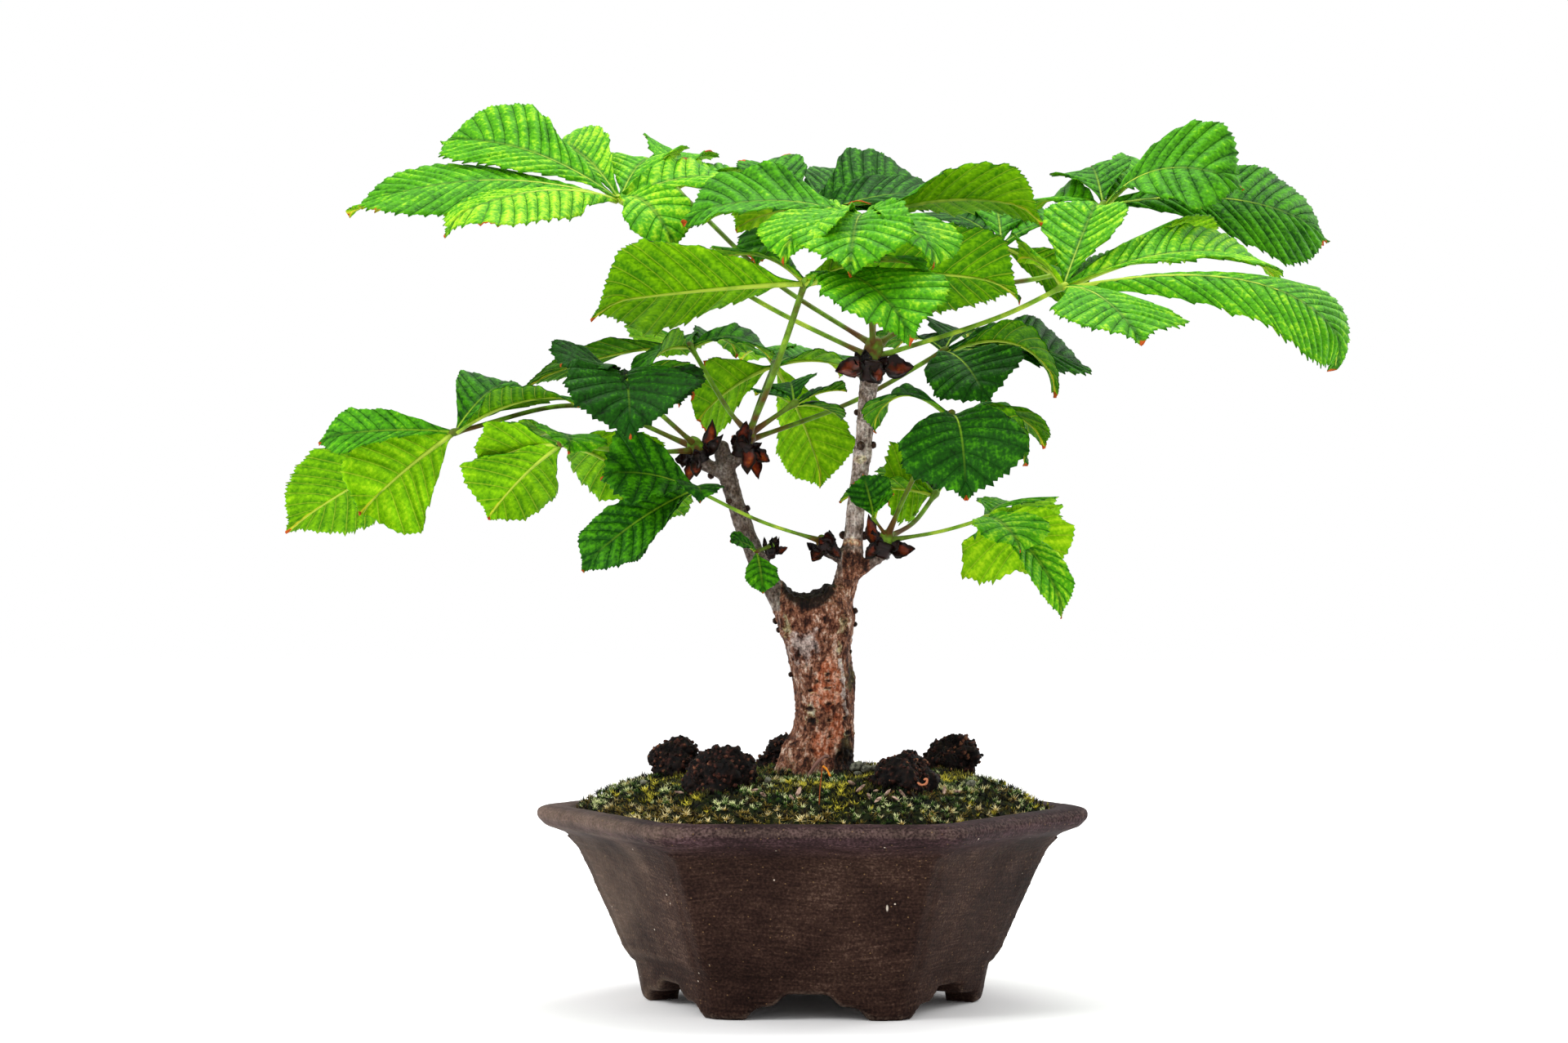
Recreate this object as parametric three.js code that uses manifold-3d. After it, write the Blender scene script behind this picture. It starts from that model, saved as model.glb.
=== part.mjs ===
// A horse chestnut bonsai in a hexagonal unglazed pot. Millimetres, +Z up, front towards -Y.
// The origin is below the middle of the whole plant, on the surface that the pot's feet stand on.
import * as THREE from 'three';
import { mergeVertices } from 'three/addons/utils/BufferGeometryUtils.js';
import Module from 'manifold-3d';

const wasm = await Module();
wasm.setup();

// Driving sizes of the pot.
const POT_HEIGHT = 88;
const POT_FLOOR = 20;
const POT_CORNER = 9;
const FOOT_RECESS = { radius: 63, top: 12 };
const DRAIN_RADIUS = 12;
const CLEARANCE = 0.3;
const SLIVER = 0.04;

// Driving sizes of the soil, the mesh and the tree.
const MESH = { side: 34, thickness: 1.2, strands: 3, strand: 2 };
const SOIL_EDGE = 84.5;
const SOIL_RISE = 17;
const TREE_TURN = THREE.MathUtils.degToRad(2.3);
const BLADE_THICKNESS = 0.8;
const STALK_RADIUS = 1.5;
const HUB_RADIUS = 2.4;

// The tree's places are given as they look from the front, at the trunk's depth. A place nearer or
// further away is spread about the eye, which is level and stands this far off.
const EYE = { x: -12.6, z: 213, distance: 1550 };

const CLAY = new THREE.MeshStandardMaterial({ color: 0x4f3a33, roughness: 0.8, metalness: 0 });
const PLASTIC = new THREE.MeshStandardMaterial({ color: 0x20242a, roughness: 0.5, metalness: 0 });
const MOSS = new THREE.MeshStandardMaterial({ color: 0x5f6b20, roughness: 1, metalness: 0 });
const CAKE = new THREE.MeshStandardMaterial({ color: 0x21140e, roughness: 1, metalness: 0 });
const BARK = new THREE.MeshStandardMaterial({ color: 0x87695a, roughness: 0.85, metalness: 0 });
const SCALE = new THREE.MeshStandardMaterial({ color: 0x6b2010, roughness: 0.45, metalness: 0 });
const LEAF = new THREE.MeshStandardMaterial({ color: 0x3f9a33, roughness: 0.55, metalness: 0 });

const vec = (x, y, z) => new THREE.Vector3(x, y, z);

function seen([x, y, z]) {
  const spread = 1 + y / EYE.distance;
  return vec(EYE.x + (x - EYE.x) * spread, y, EYE.z + (z - EYE.z) * spread);
}

// Closed geometry to a solid, for joins and cuts.
function solid(geometry) {
  const bare = new THREE.BufferGeometry();
  bare.setAttribute('position', geometry.getAttribute('position').clone());
  if (geometry.index) bare.setIndex(geometry.index.clone());
  const merged = mergeVertices(bare, 1e-3);
  const mesh = new wasm.Mesh({
    numProp: 3,
    vertProperties: new Float32Array(merged.getAttribute('position').array),
    triVerts: new Uint32Array(merged.index.array),
  });
  return new wasm.Manifold(mesh);
}

// A solid back to geometry, without the slivers that joins leave.
function shape(body) {
  const mesh = body.simplify(SLIVER).getMesh();
  const geometry = new THREE.BufferGeometry();
  geometry.setAttribute('position', new THREE.BufferAttribute(mesh.vertProperties, 3));
  geometry.setIndex(new THREE.BufferAttribute(mesh.triVerts, 1));
  geometry.computeVertexNormals();
  return geometry;
}

function join(bodies) {
  return bodies.reduce((sum, body) => sum.add(body));
}

// The biggest of a solid's separate bodies: scraps left by a cut are dropped.
function largest(body) {
  return body.decompose().reduce((best, one) => (one.volume() > best.volume() ? one : best));
}

function named(name, geometry, material) {
  const mesh = new THREE.Mesh(geometry, material);
  mesh.name = name;
  return mesh;
}

// A closed skin through rings of equally many points, run bottom to top and anticlockwise from above,
// with a point at the middle of each end.
function loft(rings, bottom, top) {
  const count = rings[0].length;
  const points = [...rings.flat(), bottom, top];
  const index = [];
  for (let r = 0; r + 1 < rings.length; r += 1) {
    for (let k = 0; k < count; k += 1) {
      const a = r * count + k;
      const b = r * count + ((k + 1) % count);
      index.push(a, b, b + count, a, b + count, a + count);
    }
  }
  const under = rings.length * count;
  const last = (rings.length - 1) * count;
  for (let k = 0; k < count; k += 1) {
    const next = (k + 1) % count;
    index.push(under, next, k);
    index.push(under + 1, last + k, last + next);
  }
  const geometry = new THREE.BufferGeometry().setFromPoints(points);
  geometry.setIndex(index);
  return geometry;
}

// A tapering round limb through stations of [x, y, z, radius]; swell shapes its girth.
function limb(stations, sides, grow = 0, swell = () => 1) {
  const centres = stations.map(([x, y, z]) => vec(x, y, z));
  const rings = centres.map((centre, i) => {
    const before = centres[Math.max(i - 1, 0)];
    const after = centres[Math.min(i + 1, centres.length - 1)];
    const along = after.clone().sub(before).normalize();
    const across = vec(0, 1, 0).cross(along).normalize();
    const deep = along.clone().cross(across);
    return Array.from({ length: sides }, (_, k) => {
      const angle = (k / sides) * 2 * Math.PI;
      const reach = stations[i][3] * swell(angle, centre.z) + grow;
      return centre
        .clone()
        .addScaledVector(across, reach * Math.cos(angle))
        .addScaledVector(deep, reach * Math.sin(angle));
    });
  });
  return solid(loft(rings, centres[0], centres[centres.length - 1]));
}

// One level of the pot: a hexagon with a corner at each side and a flat face in front, its corners
// rounded. front is half of the front face's width as a share of the radius.
function hexagon(radius, z, front = 0.5, rounding = POT_CORNER) {
  const half = radius * front;
  const deep = radius * Math.sin(Math.PI / 3);
  const corners = [
    vec(radius, 0, z),
    vec(half, deep, z),
    vec(-half, deep, z),
    vec(-radius, 0, z),
    vec(-half, -deep, z),
    vec(half, -deep, z),
  ];
  return corners.flatMap((corner, i) => {
    const last = corners[(i + 5) % 6];
    const next = corners[(i + 1) % 6];
    const start = corner.clone().add(last.clone().sub(corner).setLength(rounding));
    const end = corner.clone().add(next.clone().sub(corner).setLength(rounding));
    const middle = corner.clone().multiplyScalar(0.5).addScaledVector(start, 0.25).addScaledVector(end, 0.25);
    return [start, middle, end];
  });
}

// Corner radius and height up the outside of the pot: the feet, the apron line, the flared wall and
// the rolled lip.
const POT_OUTSIDE = [
  [77, 0],
  [79, 1.4],
  [81.5, 14.5],
  [83, 19.8],
  [85.6, 22.4],
  [91.8, 39],
  [100.4, 58],
  [106.5, 69.5],
  [113.6, 76],
  [123, 79.2],
  [127.7, 83.6],
  [126.2, 87],
  [119.5, POT_HEIGHT],
];
// And down the inside, from the lip to the floor.
const POT_INSIDE = [
  [113, 87.4],
  [109.5, 84],
  [103, 73],
  [84, 33],
  [76, POT_FLOOR],
];

// A cloud-shaped opening between two feet, as half of its outline: two steps up to a flat top. The
// openings of the front and the back are narrower at the bottom than the four at the sides.
const CLOUD_FRONT = [
  [27, -2],
  [26, 2],
  [22, 5.6],
  [14.5, 6.6],
  [9.5, 11.8],
];
const CLOUD_SIDE = [
  [30.5, -2],
  [29, 2],
  [25, 5.6],
  [14, 6.6],
  [9.5, 11.8],
];

function cloudCutter(half) {
  const outline = new THREE.Shape();
  outline.moveTo(...half[0]);
  half.slice(1).forEach(([x, z]) => outline.lineTo(x, z));
  [...half].reverse().forEach(([x, z]) => outline.lineTo(-x, z));
  outline.closePath();
  return new THREE.ExtrudeGeometry(outline, { depth: 40, bevelEnabled: false });
}

function makePot() {
  // Outside, the front and back faces widen a little towards the feet.
  const frontAt = (z) => 0.5 + 0.035 * (1 - z / POT_HEIGHT);
  const rings = POT_OUTSIDE.map(([radius, z]) => hexagon(radius, z, frontAt(z)));
  rings.push(...POT_INSIDE.map(([radius, z]) => hexagon(radius, z)));
  const body = solid(loft(rings, vec(0, 0, 0), vec(0, 0, POT_FLOOR)));
  const recess = [-2, FOOT_RECESS.top].map((z) => hexagon(FOOT_RECESS.radius, z));
  const cuts = [solid(loft(recess, vec(0, 0, -2), vec(0, 0, FOOT_RECESS.top)))];
  const ground = hexagon(POT_OUTSIDE[1][0], 0, frontAt(0), 0.01);
  for (let side = 0; side < 6; side += 1) {
    const from = ground[side * 3 + 1];
    const to = ground[(side * 3 + 4) % 18];
    const along = to.clone().sub(from).normalize();
    const outward = along.clone().cross(vec(0, 0, 1));
    const cutter = cloudCutter(side === 1 || side === 4 ? CLOUD_FRONT : CLOUD_SIDE);
    cutter.applyMatrix4(new THREE.Matrix4().makeBasis(along, vec(0, 0, 1), outward));
    const middle = from.clone().add(to).multiplyScalar(0.5).addScaledVector(outward, -22);
    cutter.translate(middle.x, middle.y, 0);
    cuts.push(solid(cutter));
  }
  const drain = new THREE.CylinderGeometry(DRAIN_RADIUS, DRAIN_RADIUS, 40, 12);
  drain.rotateX(Math.PI / 2);
  cuts.push(solid(drain));
  return shape(body.subtract(join(cuts)));
}

// A square of stiff plastic mesh, which lies over the drainage hole and keeps the soil in.
function makeDrainMesh() {
  const pitch = (MESH.side - MESH.strand) / (MESH.strands - 1);
  const middle = POT_FLOOR + CLEARANCE + MESH.thickness / 2;
  const bars = Array.from({ length: MESH.strands }, (_, i) => {
    const place = i * pitch - (MESH.side - MESH.strand) / 2;
    const along = new THREE.BoxGeometry(MESH.side, MESH.strand, MESH.thickness).translate(0, place, middle);
    const across = new THREE.BoxGeometry(MESH.strand, MESH.side, MESH.thickness).translate(place, 0, middle);
    return solid(along).add(solid(across));
  });
  return shape(join(bars));
}

// The mossy top of the soil: steep at the edge, nearly level inside, with low bumps.
function soilTop(x, y, share) {
  const bumps = 1.3 * Math.sin(x * 0.17 + 0.6) * Math.cos(y * 0.21 + 1.1) + 0.9 * Math.sin(x * 0.39 - y * 0.33);
  return SOIL_EDGE + SOIL_RISE * (1 - share ** 6) + bumps * (1 - share ** 3);
}

function makeSoil() {
  const gap = 0.5;
  const bottom = POT_FLOOR + 2 * CLEARANCE + MESH.thickness;
  const sides = [3, 2, 1].map((level) => POT_INSIDE[level]);
  const rings = [hexagon(76.8 - gap, bottom)];
  sides.forEach(([radius, z]) => rings.push(hexagon(radius - gap, z)));
  const edge = hexagon(POT_INSIDE[1][0] - gap, SOIL_EDGE);
  [1, 0.93, 0.82, 0.66, 0.45, 0.2].forEach((share) => {
    rings.push(
      edge.map((p) => {
        const x = p.x * share;
        const y = p.y * share;
        return vec(x, y, share === 1 ? SOIL_EDGE : soilTop(x, y, share));
      }),
    );
  });
  return solid(loft(rings, vec(0, 0, bottom), vec(0, 0, soilTop(0, 0, 0))));
}

// The trunk from its buried foot to the old cut, each station [x, y, z, radius].
const TRUNK = [
  [2, 0, 70, 11],
  [1.5, 0, 97, 18.5],
  [2.4, 0, 104, 18],
  [3.6, 0, 111, 16.4],
  [6, 0, 120, 13.8],
  [6.3, 0, 131, 13.2],
  [5.6, 0, 142, 13.8],
  [3.4, 0, 154, 13.9],
  [2.6, 0, 164, 15.4],
  [1.6, 0, 172, 17.2],
  [0.9, 0, 179, 17.2],
  [1.5, 0, 188, 14],
];
// A root that swells out at the foot on the left, and one in front.
const ROOTS = [
  [[0, 1, 122, 8], [-6.5, -1, 111, 8], [-11.5, -3, 101, 6.5], [-15, -5, 92, 4]],
  [[4, -6, 118, 6], [-2, -13, 108, 5.5], [-5, -18, 99, 4], [-7, -21, 92, 3]],
  [[10, 4, 120, 6], [15, 8, 106, 5], [18, 11, 96, 4]],
];
const BRANCHES = [
  // The right branch, with the rings of two old bud scars.
  [
    [8, 0, 168, 8],
    [14.6, -1, 187, 5.6],
    [17.6, -2, 200, 5.1],
    [18, -2, 203, 5.6],
    [18.6, -2, 207, 4.5],
    [20.2, -2, 226.8, 4],
    [22.3, -3, 243, 3.9],
    [22.9, -3, 247, 4.5],
    [23.4, -3, 252, 3.8],
    [25.5, -4, 276.8, 4.2],
    [27.2, -4, 285, 4.8],
  ],
  // The left branch, up to its cut end.
  [
    [-5, 0, 166, 9],
    [-13, 1, 179, 5.6],
    [-19, 1.6, 189, 4.6],
    [-23.8, 2, 197, 4.7],
    [-28.9, 3, 209.4, 4],
    [-31.5, 3, 216, 4.4],
    [-34, 3, 223.5, 3.9],
    [-38.1, 4, 236.8, 4.1],
    [-41, 4, 249, 3.6],
    [-41.4, 4, 253, 3],
  ],
  // Side shoots: two near the left branch's end, two low on the right branch, one bud on the left.
  [[-38, 4, 237, 3], [-46, 2, 241, 3.2], [-51, 1, 244.5, 3.8]],
  [[-40, 4, 241, 3], [-34.5, 3, 244.5, 3.2], [-31, 2, 248, 3.8]],
  [[19, -2, 193, 3.6], [27, -2, 198.5, 3], [32, -2, 203, 3.8]],
  [[17, -2, 199, 3.2], [10.5, -3, 201.5, 2.8], [6.5, -4, 203.5, 3.4]],
  [[-24.5, 2, 198, 2.4], [-18.6, -1, 201.5, 2]],
];
// The soft new growth that the leaf stalks leave, above the ring that carries the bud scales: its foot,
// its direction, its length and its radius.
const SHOOTS = {
  a: { at: [27.2, -4, 286], to: [0.1, 0, 1], length: 10, radius: 4.8 },
  bLeft: { at: [-51, 1, 245], to: [-0.35, -0.1, 1], length: 7, radius: 4 },
  bRight: { at: [-31, 2, 249], to: [0.3, 0.1, 1], length: 8, radius: 4.2 },
  c: { at: [32, -2, 204], to: [0.35, 0, 1], length: 6, radius: 3.8 },
  d: { at: [6.5, -4, 204], to: [-0.5, 0, 1], length: 4, radius: 3.4 },
  e: { at: [-18.6, -1, 202], to: [0.1, -0.3, 1], length: 3.5, radius: 2 },
};

const gnarl = (angle, z) => 1 + 0.05 * Math.sin(3 * angle + z * 0.09) + 0.035 * Math.sin(5 * angle - z * 0.17);

// All the wood, or the room that it takes when grown by the clearance.
function makeWood(grow) {
  const parts = [limb(TRUNK, 12, grow, gnarl)];
  ROOTS.forEach((root) => parts.push(limb(root, 5, grow)));
  BRANCHES.forEach((branch, i) => parts.push(limb(branch, i < 2 ? 7 : 5, grow)));
  Object.values(SHOOTS).forEach((shoot) => {
    const capsule = new THREE.CapsuleGeometry(shoot.radius + grow, shoot.length, 2, 5);
    const up = vec(...shoot.to).normalize();
    capsule.translate(0, shoot.length / 2, 0);
    capsule.applyQuaternion(new THREE.Quaternion().setFromUnitVectors(vec(0, 1, 0), up));
    capsule.translate(...shoot.at);
    parts.push(solid(capsule));
  });
  const hollows = [
    // The old cut between the branches, and a rotted hollow low in front.
    { at: [-1.5, -2, 191], size: [12.5, 20, 13] },
    { at: [14, -17, 112], size: [5, 5, 8] },
  ].map(({ at, size }) => {
    const bowl = new THREE.SphereGeometry(1, 8, 5);
    bowl.scale(...size.map((s) => s - grow));
    bowl.translate(...at);
    return solid(bowl);
  });
  return join(parts).subtract(join(hollows));
}

// Half-width of a leaflet along its length, as shares: a long wedge, broad shoulders past the middle
// and a short drawn-out tip.
const LEAFLET_OUTLINE = [
  [0, 0.03],
  [0.1, 0.09],
  [0.25, 0.34],
  [0.45, 0.68],
  [0.62, 0.92],
  [0.75, 1],
  [0.86, 0.88],
  [0.94, 0.52],
  [1, 0],
];
const SCALE_OUTLINE = [
  [0, 0.6],
  [0.25, 0.9],
  [0.5, 1],
  [0.75, 0.75],
  [1, 0],
];

function shareAt(outline, s) {
  const i = Math.min(
    outline.findIndex(([at]) => at >= s),
    outline.length - 1,
  );
  if (i <= 0) return outline[0][1];
  const [s0, w0] = outline[i - 1];
  const [s1, w1] = outline[i];
  return w0 + ((w1 - w0) * (s - s0)) / (s1 - s0);
}

// A thin closed blade from root to tip. Its rib is one curve that rises at its peak; its edge is a
// zigzag of teeth; tilt turns its upper side towards the front, in degrees. Both faces are split into
// the same triangles.
function blade(root, tip, form) {
  const { width, tilt, rise, peak, teeth, fold, sweep, thickness, outline, ribs, tooth } = form;
  const turn = THREE.MathUtils.degToRad(tilt);
  const face = vec(0, -Math.sin(turn), Math.cos(turn));
  const chord = tip.clone().sub(root);
  const lift = face.clone().addScaledVector(chord, -face.dot(chord) / chord.lengthSq()).normalize();
  const control = root.clone().addScaledVector(chord, peak).addScaledVector(lift, 2 * rise * chord.length());
  const rib = new THREE.QuadraticBezierCurve3(root, control, tip);
  const frame = (s) => {
    const along = rib.getTangent(s);
    const normal = face.clone().addScaledVector(along, -face.dot(along)).normalize();
    return { at: rib.getPoint(s), along, normal, across: along.clone().cross(normal) };
  };
  const points = [];
  const put = (s, side, out, sink) => {
    const { at, along, normal, across } = frame(s);
    const reach = (width / 2) * shareAt(outline, s) * out;
    const p = at
      .clone()
      .addScaledVector(across, side * reach)
      .addScaledVector(normal, fold * reach - sink)
      .addScaledVector(along, side === 0 ? 0 : sweep * (out - 1) * reach);
    points.push(p.clone().addScaledVector(normal, thickness / 2), p.clone().addScaledVector(normal, -thickness / 2));
    return { s, id: points.length - 2 };
  };
  const middle = Array.from({ length: ribs + 1 }, (_, i) => put(i / ribs, 0, 1, 0));
  const edges = [-1, 1].map((side) =>
    Array.from({ length: 2 * teeth }, (_, i) => {
      const out = i % 2 ? 1 + tooth : 1 - tooth;
      return put(0.07 + (0.89 * i) / (2 * teeth - 1), side, out, i % 2 ? 0 : 0.3);
    }),
  );
  const index = [];
  edges.forEach((edge, which) => {
    const face2 = (a, b, c) => {
      const [p, q] = which ? [b, c] : [c, b];
      index.push(a, p, q, a + 1, q + 1, p + 1);
    };
    let i = 0;
    let j = 0;
    while (i < ribs || j + 1 < edge.length) {
      const nextEdge = j + 1 < edge.length ? edge[j + 1].s : 2;
      const nextRib = i < ribs ? middle[i + 1].s : 2;
      if (nextEdge < nextRib) {
        face2(middle[i].id, edge[j].id, edge[j + 1].id);
        j += 1;
      } else {
        face2(middle[i].id, edge[j].id, middle[i + 1].id);
        i += 1;
      }
    }
    const rim = [middle[0], ...edge, middle[ribs]].map((p) => p.id);
    for (let k = 0; k + 1 < rim.length; k += 1) {
      const [a, b] = which ? [rim[k], rim[k + 1]] : [rim[k + 1], rim[k]];
      index.push(a, a + 1, b + 1, a, b + 1, b);
    }
  });
  const geometry = new THREE.BufferGeometry().setFromPoints(points);
  geometry.setIndex(index);
  return solid(geometry);
}

const LEAFLET = {
  rise: 0.1,
  peak: 0.5,
  tooth: 0.14,
  fold: 0.16,
  sweep: 0.64,
  thickness: BLADE_THICKNESS,
  outline: LEAFLET_OUTLINE,
  ribs: 3,
};
const BUD_SCALE = {
  tilt: 0,
  rise: 0.1,
  peak: 0.5,
  teeth: 1,
  tooth: 0,
  fold: 0.4,
  sweep: 1.6,
  thickness: 1,
  outline: SCALE_OUTLINE,
  ribs: 2,
};

// Every leaf: its shoot, where its stalk passes, its hub, and its leaflets as
// [tip x, tip y, tip z, width, tilt, rise, peak, fold].
const LEAVES = {
  leaf_a1: {
    shoot: 'a',
    climb: 0.05,
    via: [[-21.8, 3, 315], [-60.7, 4, 340]],
    hub: [-87, 4, 362.6],
    leaflets: [
      [-168, 45, 389, 50, 34],
      [-211, 0, 357, 58, 28, 0.1, 0.5, -0.1],
      [-169, -50, 351, 62, 26, 0.1, 0.5, -0.22],
      [-121, 77, 387, 34, 26],
      [-30, 32, 371, 48, 38],
      [-61, -35, 340, 30, 40, 0.2],
      [-70, 60, 381, 34, 16],
    ],
  },
  leaf_a2: {
    shoot: 'a',
    climb: 1,
    via: [[-18, 19, 326], [-48, 50, 354]],
    hub: [-62, 70, 368],
    leaflets: [
      [-92, 112, 375, 32, 20],
      [-34, 82, 371, 36, 24],
      [-61, 130, 383, 36, 22],
      [-20, 120, 369, 34, 15],
    ],
  },
  leaf_a3: {
    shoot: 'a',
    climb: 0.55,
    via: [[26, -20, 318]],
    hub: [24, -48, 354],
    leaflets: [
      [-60, -48, 354, 50, 22],
      [17, -125, 330, 54, 0, 0.12],
      [106, -32, 357, 52, -24],
      [58, -102, 335, 40, 0],
      [-35, -2, 350, 42, -15],
      [-15, -108, 338, 40, 0],
    ],
  },
  leaf_a4: {
    shoot: 'a',
    climb: 0.7,
    via: [[25, 28, 323]],
    hub: [-5, 55, 352],
    leaflets: [
      [-26, 104, 380, 31, 12],
      [25, 130, 375, 35, 16],
      [52, 95, 369, 52, 38],
      [70, 62, 363, 46, 30],
      [-34, 28, 366, 32, 20],
      [-26, 22, 334, 32, 10],
    ],
  },
  leaf_a5: {
    shoot: 'a',
    climb: 0.05,
    via: [[87, -22, 310]],
    hub: [114, -28, 323],
    leaflets: [
      [245, -35, 286, 60, 24, 0.2, 0.75, -0.28],
      [150, -95, 297, 58, 25, 0.1, 0.5, -0.1],
      [214, 15, 328, 52, 18, 0.12, 0.6],
      [184, 62, 337, 42, -12],
      [130, 16, 364, 42, 20, 0.02],
      [94, -5, 337, 34, -20],
    ],
  },
  leaf_a6: {
    shoot: 'a',
    climb: 1,
    via: [[70, 10, 320], [119, 40, 333]],
    hub: [132, 52, 360],
    leaflets: [
      [197, 20, 369, 58, 44, 0.22, 0.5, 0.1],
      [235, 75, 344, 60, 42, 0.13, 0.6, -0.1],
      [126, 88, 378, 36, 35],
      [165, 120, 372, 44, 10],
      [100, 80, 359, 34, 15],
    ],
  },
  leaf_a7: {
    shoot: 'a',
    climb: 0.1,
    via: [[50, 44, 318]],
    hub: [86, 76, 342],
    leaflets: [
      [82, 128, 362, 38, 20],
      [122, 112, 350, 36, 5],
      [128, 50, 309, 38, -50],
      [52, 112, 356, 34, 15],
    ],
  },
  leaf_b1: {
    shoot: 'bLeft',
    climb: 0,
    via: [[-78, -16, 248]],
    hub: [-113, -32, 252],
    leaflets: [
      [-147, -6, 218, 44, -50],
      [-151, -12, 241, 38, -45],
      [-109, -74, 250, 28, 0],
      [-75, 6, 230, 46, -50],
      [-128, 24, 250, 34, -15],
    ],
  },
  leaf_b2: {
    shoot: 'bLeft',
    climb: 0.5,
    via: [[-105, 8, 269]],
    hub: [-162, 5, 257],
    leaflets: [
      [-225, 12, 254, 26, 45, 0.05],
      [-238, 52, 213, 46, -50, 0.04],
      [-206, 8, 219, 50, -62],
      [-105, -26, 272, 40, -20],
      [-137, 42, 280, 34, 40],
    ],
  },
  leaf_b3: {
    shoot: 'bLeft',
    climb: 1,
    via: [[-66, -26, 263]],
    hub: [-86, -42, 281],
    leaflets: [
      [-82, -102, 256, 56, 5, 0.2],
      [-114, -72, 288, 36, 20],
      [-60, -88, 270, 36, 0],
      [-50, -28, 279, 32, -15],
    ],
  },
  leaf_b4: {
    shoot: 'bRight',
    climb: 1,
    via: [[-37, 14, 266]],
    hub: [-55, 38, 296],
    leaflets: [
      [-134, 22, 277, 27, -15, 0.06, 0.4],
      [-18, 48, 290, 34, 20, 0.2],
      [-76, -2, 284, 32, -30],
      [-72, 92, 293, 40, 5],
      [-33, 90, 294, 30, 5],
    ],
  },
  leaf_b5: {
    shoot: 'bRight',
    climb: 0.5,
    via: [[-16, -32, 287]],
    hub: [-3, -60, 325],
    leaflets: [
      [-101, -52, 315, 60, -42, 0.02],
      [46, -128, 300, 56, 10, 0.15],
      [96, -40, 323, 66, -42, 0.08],
      [-42, -12, 336, 30, -10],
      [54, -96, 331, 34, 0],
    ],
  },
  leaf_b6: {
    shoot: 'bRight',
    climb: 0.75,
    via: [],
    hub: [-8, 4, 270],
    leaflets: [
      [16, 6, 276, 26, 15],
      [14, 16, 263, 24, 0],
      [-10, 26, 280, 22, 20],
      [-26, 12, 275, 22, 10],
    ],
  },
  leaf_b7: {
    shoot: 'bRight',
    climb: 0,
    via: [[21, 34, 272]],
    hub: [60, 48, 294],
    leaflets: [
      [79, 4, 272, 44, 25],
      [114, 30, 274, 40, -10, 0.25],
      [124, 86, 286, 46, 40],
      [72, 104, 300, 40, 5],
      [38, 96, 296, 34, 5],
    ],
  },
  leaf_b8: {
    shoot: 'bRight',
    climb: 0.3,
    via: [[-24, 38, 270]],
    hub: [-17, 78, 288],
    leaflets: [
      [-52, 64, 262, 48, -45],
      [22, 76, 284, 36, -10],
      [6, 98, 232, 37, -40],
      [-32, 136, 290, 42, 5],
      [14, 132, 284, 40, 5],
    ],
  },
  leaf_d1: {
    shoot: 'd',
    climb: 0.5,
    via: [[-24, -26, 217]],
    hub: [-53, -40, 231],
    leaflets: [
      [-96, -56, 238, 44, 42],
      [-105, -66, 195, 30, 58],
      [-90, -34, 199, 24, 50],
      [-50, -72, 228, 20, 10],
      [-76, -4, 215, 32, -20],
    ],
  },
  leaf_c1: {
    shoot: 'c',
    climb: 1,
    via: [[45.5, -22, 235]],
    hub: [63, -42, 265],
    leaflets: [
      [70, -84, 226, 50, 20, 0.26],
      [26, -30, 258, 34, 15, 0.35],
      [98, -53, 242, 32, -15, 0.2],
      [107, -32, 251, 34, 15, 0.2],
    ],
  },
  leaf_c2: {
    shoot: 'c',
    climb: 0,
    via: [[58, -6, 212]],
    hub: [79, -8, 218],
    leaflets: [
      [99, 22, 196, 54, -60],
      [111, 14, 193, 40, -42, 0.2],
      [95, -50, 204, 34, 25],
      [116, -46, 174, 22, 30, 0.15],
      [99, 54, 219, 38, -20],
    ],
  },
  leaf_c3: {
    shoot: 'c',
    climb: 0.6,
    via: [[46, 16, 216]],
    hub: [56, 34, 229],
    leaflets: [
      [32, 42, 231, 42, -50],
      [12, 28, 226, 28, -10],
      [72, 88, 236, 38, 0],
      [40, 84, 234, 34, 0],
    ],
  },
  leaf_c4: {
    shoot: 'c',
    climb: 1,
    small: true,
    via: [],
    hub: [28, -14, 218],
    leaflets: [
      [23, -20, 238, 19, 55],
      [37, -26, 229, 14, 40],
    ],
  },
  leaf_e1: {
    shoot: 'e',
    climb: 0.5,
    small: true,
    via: [],
    hub: [-25, -10, 203],
    leaflets: [
      [-37, -18, 208, 17, 40],
      [-22, -25, 184, 15, 30],
    ],
  },
};

// A leaf's stalk, from inside its shoot to its hub, cut off just clear of the wood.
function makeStalk(leaf, wood, grow = 0) {
  const shoot = SHOOTS[leaf.shoot];
  const hub = seen(leaf.hub);
  const path = leaf.via.map(seen);
  const axis = vec(...shoot.to).normalize();
  const climb = THREE.MathUtils.lerp(RING.top + STALK_RADIUS, shoot.length, leaf.climb);
  const start = vec(...shoot.at).addScaledVector(axis, climb);
  const curve = new THREE.CatmullRomCurve3([start, ...path, hub]);
  const girth = leaf.small ? 0.55 : 1;
  const stations = curve.getSpacedPoints(4).map((p, i) => [p.x, p.y, p.z, STALK_RADIUS * girth * (i ? 1 : 1.3)]);
  const end = curve.getTangent(1).multiplyScalar(HUB_RADIUS * girth);
  stations[4][3] = HUB_RADIUS * girth;
  stations.push([hub.x + end.x, hub.y + end.y, hub.z + end.z, HUB_RADIUS * girth * 0.6]);
  return limb(stations, 5, grow).subtract(wood);
}

// A leaflet has one tooth on each side for each of these widths that it reaches.
const LEAFLET_TEETH = [0, 10, 25, 50];

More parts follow.
